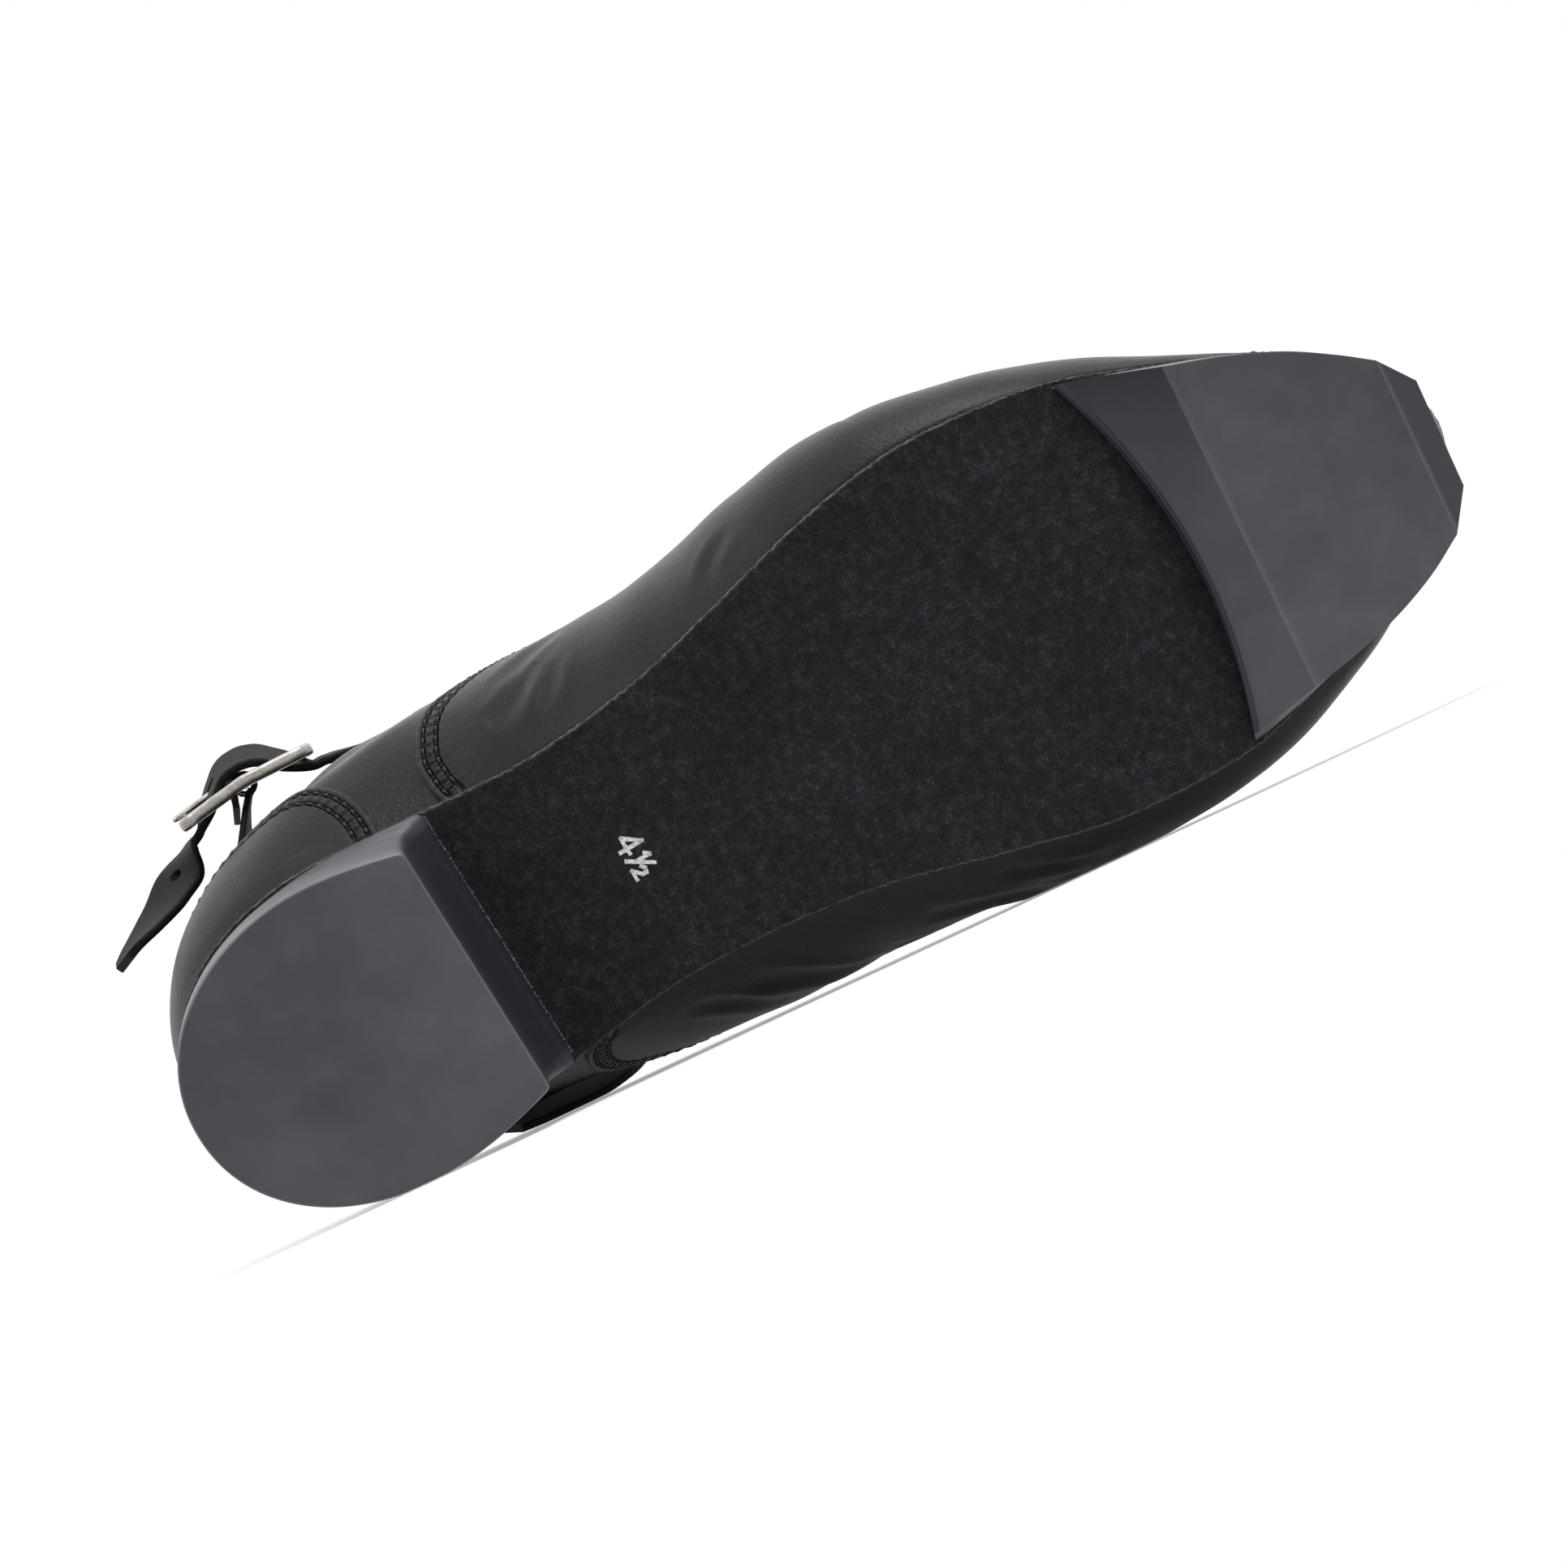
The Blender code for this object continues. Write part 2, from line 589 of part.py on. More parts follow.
def ribbon(name, rows, width, thick, mat, per=3, **kw):
    """A strip through rows of centre point and width direction."""
    path = smooth_path(rows, per)
    rings = []
    for i, r in enumerate(path):
        a, b = path[max(i - 1, 0)], path[min(i + 1, len(path) - 1)]
        t = (b - a)[:3]
        t = t / np.linalg.norm(t)
        w = r[3:6] - t * np.dot(r[3:6], t)
        w = w / np.linalg.norm(w)
        n = np.cross(t, w)
        share = r[6] if len(r) > 6 else 1.0
        h, d = width / 2 * share, thick / 2
        c = r[:3]
        rings.append([c + w * h + n * d, c - w * h + n * d, c - w * h - n * d, c + w * h - n * d])
    return loft(name, rings, mat, smooth=50, **kw)


def on_upper(s, side, v, lift):
    return tuple(skin(s, side, v, lift))


STRAP_LIFT = 0.45 + STRAP_T / 2
UP = (0.0, 0.0, 1.0)
STRAP = (
    # centre x, y, z, then width direction x, y, z and share of the width
    (*on_upper(3.45, 1, 0.64, STRAP_LIFT + 0.3), -0.5, -0.12, 0.86, 0.8),
    (*on_upper(3.8, 1, 0.72, STRAP_LIFT + 0.3), -0.55, -0.14, 0.83, 1.0),
    (*on_upper(4.25, 1, 0.83, STRAP_LIFT + 0.7), -0.6, -0.2, 0.8, 1.0),
    (69.0, 37.0, 88.0, -0.6, -0.22, 0.79, 1.0),
    (79.5, 31.0, 96.8, -0.58, -0.2, 0.8, 1.0),
    (88.0, 18.5, 103.6, -0.55, -0.1, 0.83, 1.0),
    (91.0, 1.5, 105.6, -0.52, 0.0, 0.85, 1.0),
    (88.0, -15.5, 103.4, -0.55, 0.1, 0.83, 1.0),
    (78.5, -27.6, 97.4, -0.56, 0.18, 0.82, 1.0),
    (66.0, -35.2, 90.4, -0.4, 0.12, 0.91, 1.0),
    (*buckle(20.8, -5.4, 1.0), -0.15, 0.0, 1.0, 1.0),
    (*buckle(15.6, -3.9, 0.3), 0.0, 0.0, 1.0, 1.0),
    (*buckle(12.5, -2.95), *UP, 1.0),
    (*buckle(8.6, -0.2), *UP, 1.0),
    (*buckle(5.4, 2.7), *UP, 1.0),
    (*buckle(2.6, 4.0), *UP, 1.0),
    (*buckle(0.0, 4.25), *UP, 1.0),
    (*buckle(-2.6, 3.8), *UP, 1.0),
    (*buckle(-5.4, 2.3), *UP, 1.0),
    (*buckle(-8.5, -0.5), *UP, 1.0),
    (*buckle(-12.1, -3.05), *UP, 1.0),
    (*buckle(-15.0, -4.6), 0.0, 0.0, 1.0, 1.0),
    (14.4, -36.0, 81.4, -0.35, 0.0, 1.0, 1.0),
    (9.4, -33.0, 77.8, -0.3, 0.0, 1.0, 1.0),
    (4.0, -30.7, 73.4, -0.2, 0.02, 1.0, 1.0),
    (0.2, -29.2, 70.0, -0.12, 0.03, 1.0, 0.92),
    (-1.6, -28.4, 68.6, -0.1, 0.03, 1.0, 0.55),
)
strap = ribbon("ankle_strap", STRAP, STRAP_W, STRAP_T, LEATHER)

# the strap's holes: one on the prong and two in the tail
# centre, direction through the strap, half length along the strap, half width
HOLES = (
    (tuple(buckle(-5.7, 2.05)), (-0.72, -1.0, 0.0), 2.6, 1.15),
    ((14.4, -36.0, 81.4), (-0.65, -0.75, 0.0), 1.3, 1.3),
)
for k, (c, d, along, across) in enumerate(HOLES):
    c, d = np.array(c), np.array(d) / np.linalg.norm(d)
    u = np.cross(d, UP)
    u = u / np.linalg.norm(u)
    w = np.cross(u, d)
    ends = []
    for reach in (-3.0, 3.0):
        angles = [2 * math.pi * i / 14 for i in range(14)]
        ends.append([c + d * reach + u * along * math.cos(a) + w * across * math.sin(a) for a in angles])
    cut(strap, loft("strap_hole_%d" % (k + 1), ends, None, cutter=True))


def rounded(half_u, half_h, r, n=4):
    pts = []
    for k, (su, sh) in enumerate(((1, 1), (-1, 1), (-1, -1), (1, -1))):
        for i in range(n + 1):
            a = math.pi / 2 * (k + i / n)
            pts.append((su * (half_u - r) + r * math.cos(a), sh * (half_h - r) + r * math.sin(a)))
    return pts


def frame():
    """The buckle's frame: a flat outline with a window, its edges eased, and a bar across."""
    data = bpy.data.curves.new("buckle_frame", "CURVE")
    data.dimensions = "2D"
    data.fill_mode = "BOTH"
    ease = 0.5
    data.extrude = (FRAME_T / 2 - ease) * MM
    data.bevel_depth = ease * MM
    data.bevel_resolution = 1
    data.offset = -ease * MM
    for pts in (rounded(FRAME_L / 2, FRAME_H / 2, 4.0), rounded(FRAME_L / 2 - FRAME_W, FRAME_H / 2 - FRAME_W, 1.6)):
        spline = data.splines.new("POLY")
        spline.use_cyclic_u = True
        spline.points.add(len(pts) - 1)
        for k, (u, h) in enumerate(pts):
            spline.points[k].co = (u * MM, h * MM, 0.0, 1.0)
    flat = bpy.data.objects.new("buckle_flat", data)
    parts.objects.link(flat)
    bpy.context.view_layer.update()
    me = bpy.data.meshes.new_from_object(flat.evaluated_get(bpy.context.evaluated_depsgraph_get()))
    bpy.data.objects.remove(flat, do_unlink=True)
    place = Matrix((
        (B_U[0], B_H[0], -B_W[0], BUCKLE[0] * MM),
        (B_U[1], B_H[1], -B_W[1], BUCKLE[1] * MM),
        (B_U[2], B_H[2], -B_W[2], BUCKLE[2] * MM),
        (0.0, 0.0, 0.0, 1.0),
    ))
    bm = bmesh.new()
    bm.from_mesh(me)
    bmesh.ops.transform(bm, matrix=place, verts=bm.verts)
    bmesh.ops.remove_doubles(bm, verts=bm.verts, dist=1e-6)
    bmesh.ops.recalc_face_normals(bm, faces=bm.faces)
    bm.to_mesh(me)
    bm.free()
    me.materials.clear()
    me.materials.append(NICKEL)
    me.shade_smooth()
    me.set_sharp_from_angle(angle=math.radians(40))
    ob = bpy.data.objects.new("buckle_frame", me)
    parts.objects.link(ob)
    ob.parent = rest
    reach = FRAME_H / 2 - FRAME_W + 1.2
    cut(ob, tube("centre_bar", [buckle(0, 0, -reach), buckle(0, 0, 0), buckle(0, 0, reach)], BAR_R, None), "UNION")
    return ob


frame()

PRONG_R = 0.6
ring_r = BAR_R + 0.3 + PRONG_R
arc = [math.radians(90 - 20 * k) for k in range(14)]
prong = [buckle(-15.6, 2.0), buckle(-14.9, 2.0), buckle(-12.0, 2.0), buckle(-8.0, 2.0), buckle(-4.0, 1.95), buckle(-1.6, 1.92)]
prong += [buckle(ring_r * math.cos(a), ring_r * math.sin(a)) for a in arc]
tube("buckle_prong", prong, PRONG_R, NICKEL)


def tab():
    """A strip folded round the centre bar, its layers running back to the quarter."""
    r = BAR_R + 0.3 + TAB_T / 2

    def on_wall(at, v, lift):
        up = skin(at, -1, min(v + 0.05, 1.0), lift) - skin(at, -1, v - 0.05, lift)
        return (*skin(at, -1, v, lift), *(up / np.linalg.norm(up)))

    rows = [(*buckle(-4.4, -4.4, -1.4), *B_H), (*buckle(-3.1, -1.9, -0.5), *B_H), (*buckle(-2.75, -0.4), *B_H), (*buckle(-1.5, 1.2), *B_H)]
    rows += [(*buckle(r * math.cos(a), r * math.sin(a)), *B_H) for a in [math.radians(100 - 20 * k) for k in range(10)]]
    rows += smooth_path((
        rows[-1], (*buckle(-1.6, -3.9, -0.8), *B_H), on_wall(2.75, 0.86, 2.4),
        on_wall(2.5, 0.80, 1.35), on_wall(2.3, 0.76, 1.35)), 3)[1:]
    ob = ribbon("buckle_tab", rows, TAB_W, TAB_T, LEATHER, per=1)
    # its quads twist, so they are split before the slot is cut
    bm = bmesh.new()
    bm.from_mesh(ob.data)
    bmesh.ops.triangulate(bm, faces=bm.faces)
    bm.to_mesh(ob.data)
    bm.free()
    # the slot that the prong turns in
    bpy.ops.mesh.primitive_cube_add(size=1.0)
    box = bpy.context.active_object
    box.name = "prong_slot"
    box.parent = rest
    box.location = buckle(0.0, 0.2) * MM
    box.scale = (8.4 * MM, 7.2 * MM, 2.2 * MM)
    bpy.ops.object.transform_apply(location=False, rotation=False, scale=True)
    for holder in list(box.users_collection):
        holder.objects.unlink(box)
    cutters.objects.link(box)
    box.hide_render = True
    box.display_type = "WIRE"
    cut(ob, box)
    return ob


tab()
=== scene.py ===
import math

import bmesh
import bpy
import numpy as np
from mathutils import Matrix, Vector

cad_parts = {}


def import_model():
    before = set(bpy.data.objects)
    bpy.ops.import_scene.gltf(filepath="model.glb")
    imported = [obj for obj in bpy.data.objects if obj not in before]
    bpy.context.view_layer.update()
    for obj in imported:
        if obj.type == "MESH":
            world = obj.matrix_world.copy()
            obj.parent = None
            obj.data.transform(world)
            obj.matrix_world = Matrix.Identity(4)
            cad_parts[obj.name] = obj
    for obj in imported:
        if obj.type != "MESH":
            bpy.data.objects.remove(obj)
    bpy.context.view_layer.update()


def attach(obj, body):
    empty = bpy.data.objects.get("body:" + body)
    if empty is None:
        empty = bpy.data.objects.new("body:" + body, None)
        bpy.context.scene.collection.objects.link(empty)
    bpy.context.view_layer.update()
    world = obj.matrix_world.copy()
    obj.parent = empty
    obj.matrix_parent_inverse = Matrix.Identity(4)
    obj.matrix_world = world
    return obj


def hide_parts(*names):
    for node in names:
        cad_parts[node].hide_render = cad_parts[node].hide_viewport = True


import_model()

RNG = np.random.default_rng(7)

# Shoe frame in millimetres: X heel to toe, Y medial, Z up from the striking faces.
# It lies on its medial side in the row frame.
MM = 0.001
LIE = np.array(Matrix.Rotation(math.radians(-7.0853), 3, "Y") @ Matrix.Rotation(math.radians(-82.1680), 3, "X"))
SHIFT = np.array((-119.8006, -52.6380, 22.7755))


def world(p):
    """Metres in the row frame; leather that reaches the floor is pressed flat on it."""
    q = np.asarray(p, float) @ LIE.T + SHIFT
    low = q[..., 2] < 0.25
    q[..., 2] = np.where(low, np.maximum(0.02, 0.25 - 0.25*np.tanh((0.25 - q[..., 2])/0.9)), q[..., 2])
    return q * MM


# ------------------------------------------------------------------ the last
GAP, SOLE_T, INSOLE_T, WALL, MARGIN = 0.3, 2.4, 2.0, 1.8, 6.5
EDGE = np.array((
    (-0.8, 0.0, -0.8, 0.0), (3.6, -14.0, 3.6, 13.6), (15.0, -23.8, 15.0, 22.8), (33.0, -28.0, 33.0, 26.6),
    (57.0, -26.0, 57.0, 26.0), (80.0, -24.0, 80.0, 23.6), (101.0, -25.6, 101.0, 24.0), (121.5, -30.2, 121.5, 26.6),
    (142.0, -35.1, 142.0, 32.4), (160.0, -37.1, 160.0, 37.4), (176.0, -35.8, 176.0, 39.4), (191.0, -32.6, 190.0, 39.6),
    (208.0, -26.5, 205.0, 38.0), (225.0, -19.2, 221.0, 34.6), (239.0, -10.0, 236.0, 28.0), (246.6, 0.0, 245.4, 19.4),
    (249.2, 10.0, 249.2, 10.0)))
UNDER = np.array((
    (-30.0, 25.9), (30.0, 25.9), (60.0, 25.9), (70.0, 25.3), (80.0, 23.8), (90.0, 21.2), (101.0, 17.6), (111.0, 13.6),
    (121.5, 9.8), (132.0, 6.9), (142.0, 5.0), (160.0, 3.5), (174.0, 3.0), (184.0, 3.0), (191.0, 3.8), (200.0, 6.2),
    (210.0, 9.3), (220.0, 12.2), (230.0, 14.6), (240.0, 16.4), (250.0, 17.6), (270.0, 19.0)))
# tx, tz, tl, tm, then out and up of the lower handle and of the top one, lateral and medial
TOP = np.array((
    (2.8, 91.0, 0.0, 0.0, 1.5, 18.0, 1.4, 26.0, 1.5, 18.0, 1.4, 26.0),
    (6.4, 90.0, -11.0, 11.0, 6.5, 18.0, 3.0, 26.0, 0.4, 18.0, 1.2, 26.0),
    (15.2, 87.0, -20.2, 21.2, 11.5, 18.0, 6.0, 24.0, 0.6, 18.3, 1.9, 24.0),
    (32.0, 82.0, -27.8, 29.6, 17.0, 18.2, 8.5, 22.0, 2.0, 19.0, 4.0, 22.0),
    (54.0, 81.0, -31.5, 33.6, 23.0, 18.3, 11.0, 20.0, 6.0, 20.5, 5.4, 20.0),
    (76.0, 87.0, -24.8, 29.2, 25.5, 18.1, 16.0, 14.0, 18.5, 21.5, 16.0, 14.0),
    (95.0, 94.2, -9.9, 13.5, 25.0, 19.9, 29.0, 4.0, 29.5, 23.0, 29.0, 4.0),
    (113.0, 86.5, -6.5, 7.5, 21.5, 18.9, 30.0, 3.0, 29.0, 23.4, 31.0, 3.0),
    (131.0, 75.2, -5.5, 5.5, 22.2, 17.4, 31.0, 2.0, 23.5, 22.0, 33.0, 2.0),
    (149.0, 64.0, 0.0, 0.0, 22.2, 16.2, 32.0, 0.0, 23.5, 18.6, 35.5, 0.0),
    (167.0, 55.4, 1.5, 1.5, 18.2, 15.2, 30.0, 0.0, 21.5, 14.4, 32.5, 0.0),
    (183.0, 50.1, 3.5, 3.5, 12.7, 14.2, 28.0, 0.0, 19.7, 12.4, 29.5, 0.0),
    (198.0, 46.8, 5.5, 5.5, 6.8, 12.6, 25.8, 0.0, 16.5, 11.1, 26.8, 0.0),
    (213.0, 44.4, 7.5, 7.5, 1.6, 10.6, 22.2, 0.0, 12.5, 10.2, 22.5, 0.0),
    (226.0, 42.1, 9.0, 9.0, 0.4, 9.4, 16.0, 0.0, 7.5, 9.4, 16.3, 0.0),
    (233.0, 40.0, 10.0, 10.0, 0.6, 9.0, 11.0, 0.0, 3.5, 9.0, 11.0, 0.0),
    (236.0, 39.0, 10.5, 10.5, 1.0, 8.8, 9.3, 0.0, 1.0, 8.8, 9.3, 0.0)))
LAST, THROAT = 16, 9


def rows_at(table, s):
    """Catmull-Rom rows of a table at positions s."""
    s = np.clip(np.asarray(s, float), 0, len(table) - 1)
    n = len(table) - 1
    i = np.minimum(s.astype(int), n - 1)
    t = (s - i)[..., None]
    p1, p2 = table[i], table[i + 1]
    p0 = np.where((i > 0)[..., None], table[np.maximum(i - 1, 0)], 2 * p1 - p2)
    p3 = np.where((i + 2 <= n)[..., None], table[np.minimum(i + 2, n)], 2 * p2 - p1)
    m1, m2 = (p2 - p0) / 2, (p3 - p1) / 2
    return (2*t**3 - 3*t**2 + 1)*p1 + (t**3 - 2*t**2 + t)*m1 + (-2*t**3 + 3*t**2)*p2 + (t**3 - t**2)*m2


def _slopes():
    h = np.diff(UNDER[:, 0])
    d = np.diff(UNDER[:, 1]) / h
    m = np.zeros(len(UNDER))
    for j in range(1, len(UNDER) - 1):
        if d[j - 1] * d[j] > 0:
            m[j] = 2 * d[j - 1] * d[j] / (d[j - 1] + d[j])
    return m


UNDER_M = _slopes()


def under(x):
    x = np.clip(np.asarray(x, float), UNDER[0, 0], UNDER[-1, 0] - 1e-6)
    i = np.clip(np.searchsorted(UNDER[:, 0], x, side="right") - 1, 0, len(UNDER) - 2)
    h = UNDER[i + 1, 0] - UNDER[i, 0]
    t = (x - UNDER[i, 0]) / h
    return ((2*t**3 - 3*t**2 + 1)*UNDER[i, 1] + (t**3 - 2*t**2 + t)*h*UNDER_M[i]
            + (-2*t**3 + 3*t**2)*UNDER[i + 1, 1] + (t**3 - t**2)*h*UNDER_M[i + 1])


def edge(s, side):
    """Sole edge and outward direction, side an array of -1 lateral or +1 medial."""
    s, side = np.broadcast_arrays(np.asarray(s, float), np.asarray(side))
    lat, med = EDGE[:, :2], EDGE[:, 2:]
    full_l = np.vstack((med[1:2], lat, med[LAST - 1:LAST]))
    full_m = np.vstack((lat[1:2], med, lat[LAST - 1:LAST]))
    i = np.clip(s.astype(int), 0, LAST - 1)
    t = (s - i)[..., None]
    low = (side < 0)[..., None]
    q = [np.where(low, full_l[i + k], full_m[i + k]) for k in range(4)]
    m1, m2 = (q[2] - q[0]) / 2, (q[3] - q[1]) / 2
    p = (2*t**3 - 3*t**2 + 1)*q[1] + (t**3 - 2*t**2 + t)*m1 + (-2*t**3 + 3*t**2)*q[2] + (t**3 - t**2)*m2
    d = (6*t**2 - 6*t)*q[1] + (3*t**2 - 4*t + 1)*m1 + (-6*t**2 + 6*t)*q[2] + (3*t**2 - 2*t)*m2
    d = d / np.linalg.norm(d, axis=-1, keepdims=True)
    n = np.stack((d[..., 1], -d[..., 0]), -1) * np.where(side < 0, 1, -1)[..., None]
    return p, n


def wall(s, side, v, rounded_end=True):
    s, side, v = np.broadcast_arrays(np.asarray(s, float), np.asarray(side), np.asarray(v, float))
    p, n = edge(s, side)
    row = rows_at(TOP, s)
    low = side < 0
    o, h = np.where(low, row[..., 4], row[..., 8]), np.where(low, row[..., 5], row[..., 9])
    p2, q2 = np.where(low, row[..., 6], row[..., 10]), np.where(low, row[..., 7], row[..., 11])
    y = np.where(low, row[..., 2], row[..., 3])
    if rounded_end:
        t = np.clip(s - (THROAT - 1), 0, 1)
        end = np.where(low, TOP[THROAT - 1, 2], TOP[THROAT - 1, 3]) * np.sqrt(np.maximum(0, 1 - t**2.6))
        y = np.where(s >= THROAT, (row[..., 2] + row[..., 3]) / 2, np.where(s > THROAT - 1, end, y))
    y = np.where(s == 0, 0.0, y)
    foot = p - 0.4 * n
    a = np.stack((foot[..., 0], foot[..., 1], under(foot[..., 0]) + SOLE_T + GAP), -1)
    d = np.stack((row[..., 0], y, row[..., 1]), -1)
    out = np.stack((n[..., 0], n[..., 1], np.zeros_like(s)), -1)
    up = np.array((0, 0, 1.0))
    b = a + out * o[..., None] + up * h[..., None]
    c = d + out * p2[..., None] - up * q2[..., None]
    v = v[..., None]
    return (1 - v)**3 * a + 3*v*(1 - v)**2 * b + 3*v*v*(1 - v) * c + v**3 * d


def normal(s, side, v):
    e = 0.02
    s, side, v = np.broadcast_arrays(np.asarray(s, float), np.asarray(side), np.asarray(v, float))
    ds = wall(np.minimum(s + e, LAST), side, v, False) - wall(np.maximum(s - e, 0), side, v, False)
    dv = wall(s, side, np.minimum(v + e, 1), False) - wall(s, side, np.maximum(v - e, 0), False)
    n = np.cross(ds, dv) * side[..., None]
    n = n / np.maximum(np.linalg.norm(n, axis=-1, keepdims=True), 1e-9)
    low = edge(s, side)[1]
    flip = n[..., 0]*low[..., 0] + n[..., 1]*low[..., 1] + n[..., 2]*0.6 < 0
    return np.where(flip[..., None], -n, n)


# creases: side, depth, half width, then (s, v) points; negative depth is a soft ridge
CREASES = (
    (1, 0.9, 2.6, ((5.6, 0.10), (6.1, 0.17), (6.6, 0.25), (7.1, 0.30))),
    (1, 0.7, 2.2, ((5.1, 0.12), (5.5, 0.19), (5.9, 0.27))),
    (1, 0.75, 2.0, ((7.3, 0.13), (7.8, 0.17), (8.3, 0.19), (8.9, 0.18))),
    (1, 0.55, 1.7, ((7.9, 0.06), (8.3, 0.09), (8.8, 0.11), (9.2, 0.11))),
    (1, 0.45, 1.6, ((7.0, 0.22), (7.5, 0.27), (8.0, 0.29))),
    (1, 0.5, 1.5, ((8.1, 0.13), (8.6, 0.15), (9.1, 0.15))),
    (1, 0.35, 1.3, ((8.0, 0.20), (8.5, 0.225), (9.0, 0.22))),
    (-1, 0.5, 2.4, ((4.9, 0.12), (5.25, 0.16), (5.6, 0.24))),
    (-1, 0.45, 2.0, ((5.35, 0.08), (5.55, 0.13), (5.75, 0.2))),
    (-1, 0.4, 2.2, ((5.2, 0.24), (5.6, 0.30), (6.1, 0.33))),
    (-1, 0.35, 1.8, ((7.1, 0.06), (7.3, 0.11), (7.6, 0.15))),
    (-1, 0.6, 4.0, ((3.15, 0.52), (3.7, 0.48), (4.2, 0.50), (4.5, 0.56))),
    (-1, -0.7, 3.2, ((3.1, 0.66), (3.7, 0.64), (4.2, 0.68))),
    (1, 0.7, 3.5, ((2.9, 0.60), (3.4, 0.50), (3.9, 0.46))),
    (-1, 0.9, 3.6, ((9.3, 0.55), (9.5, 0.72), (9.6, 0.90))),
    (1, 0.9, 3.6, ((9.3, 0.58), (9.5, 0.74), (9.6, 0.92))),
    (-1, 0.8, 3.0, ((10.2, 0.55), (10.35, 0.75), (10.4, 0.92))),
    (1, 0.8, 3.0, ((10.1, 0.6), (10.3, 0.78), (10.4, 0.94))),
)
_CREASE_LINES = []
for _side, _depth, _half, _pts in CREASES:
    _t = np.linspace(0, len(_pts) - 1, 40)
    _sv = rows_at(np.array(_pts, float), _t)
    _CREASE_LINES.append((_side, _depth, _half, wall(_sv[:, 0], np.full(40, _side), _sv[:, 1]), np.sin(np.linspace(0, math.pi, 40)) ** 0.7))


def relief(p, side):
    """Height of folds and of the leather's slow unevenness at points p."""
    flat = p.reshape(-1, 3)
    h = 0.16*np.sin(flat[:, 0]*0.11 + flat[:, 2]*0.17 + 1.0) + 0.12*np.sin(flat[:, 1]*0.19 - flat[:, 0]*0.07 + 2.2)
    h += 0.07*np.sin(flat[:, 0]*0.31 - flat[:, 2]*0.23 + 0.6*np.sin(flat[:, 1]*0.2))
    for sd, depth, half, line, share in _CREASE_LINES:
        near = np.flatnonzero(np.abs(flat - line.mean(0)).max(1) < 60)
        if not len(near):
            continue
        d = np.linalg.norm(flat[near, None, :] - line[None], axis=2)
        k = d.argmin(1)
        t = d[np.arange(len(near)), k] / half
        h[near] += depth * share[k] * (-np.exp(-t*t) + 0.45*np.exp(-((t - 1.9)/0.75)**2))
    return h.reshape(p.shape[:-1])


def skin(s, side, v, out=0.0, folds=True):
    """Point of the upper's outer surface with its folds, moved outwards by out."""
    q, n = wall(s, side, v), normal(s, side, v)
    h = relief(q, side) if folds else 0.0
    low = np.clip(np.broadcast_to(v, q.shape[:-1]) / 0.06, 0, 1)
    return q + n * (np.asarray(out) + h * low)[..., None]


# ------------------------------------------------------------------ materials
def new_material(name):
    m = bpy.data.materials.new(name)
    m.use_nodes = True
    nt = m.node_tree
    return m, nt, nt.nodes["Principled BSDF"]


def node(nt, kind, **props):
    n = nt.nodes.new(kind)
    for k, v in props.items():
        if k.startswith("in_"):
            n.inputs[k[3:].replace("_", " ")].default_value = v
        else:
            setattr(n, k, v)
    return n


def math_node(nt, op, a, b=None, c=None, clamp=False):
    n = nt.nodes.new("ShaderNodeMath")
    n.operation = op
    n.use_clamp = clamp
    for i, x in enumerate((a, b, c)):
        if x is None:
            continue
        if isinstance(x, (int, float)):
            n.inputs[i].default_value = x
        else:
            nt.links.new(x, n.inputs[i])
    return n.outputs[0]


def noise(nt, co, scale, detail=4.0, rough=0.55, distortion=0.0):
    n = node(nt, "ShaderNodeTexNoise")
    n.inputs["Scale"].default_value = scale
    n.inputs["Detail"].default_value = detail
    n.inputs["Roughness"].default_value = rough
    n.inputs["Distortion"].default_value = distortion
    nt.links.new(co, n.inputs["Vector"])
    return n.outputs["Fac"]


def ramp(nt, fac, stops):
    n = node(nt, "ShaderNodeValToRGB")
    e = n.color_ramp.elements
    while len(e) < len(stops):
        e.new(0.5)
    for i, (pos, col) in enumerate(stops):
        e[i].position = pos
        e[i].color = (*col, 1) if isinstance(col, tuple) else (col, col, col, 1)
    nt.links.new(fac, n.inputs["Fac"])
    return n.outputs["Color"]


def mix(nt, fac, a, b):
    n = node(nt, "ShaderNodeMix", data_type="RGBA")
    for sock, x in ((n.inputs[0], fac), (n.inputs[6], a), (n.inputs[7], b)):
        if isinstance(x, (int, float)):
            sock.default_value = x
        elif isinstance(x, tuple):
            sock.default_value = (*x, 1)
        else:
            nt.links.new(x, sock)
    return n.outputs[2]


def bump(nt, bsdf, pairs):
    """Chained bumps: (height, strength, distance in metres)."""
    last = None
    for h, strength, dist in pairs:
        n = node(nt, "ShaderNodeBump")
        n.inputs["Strength"].default_value = strength
        n.inputs["Distance"].default_value = dist
        nt.links.new(h, n.inputs["Height"])
        if last is not None:
            nt.links.new(last, n.inputs["Normal"])
        last = n.outputs["Normal"]
    nt.links.new(last, bsdf.inputs["Normal"])


def attribute(nt, name):
    return node(nt, "ShaderNodeAttribute", attribute_name=name).outputs["Fac"]


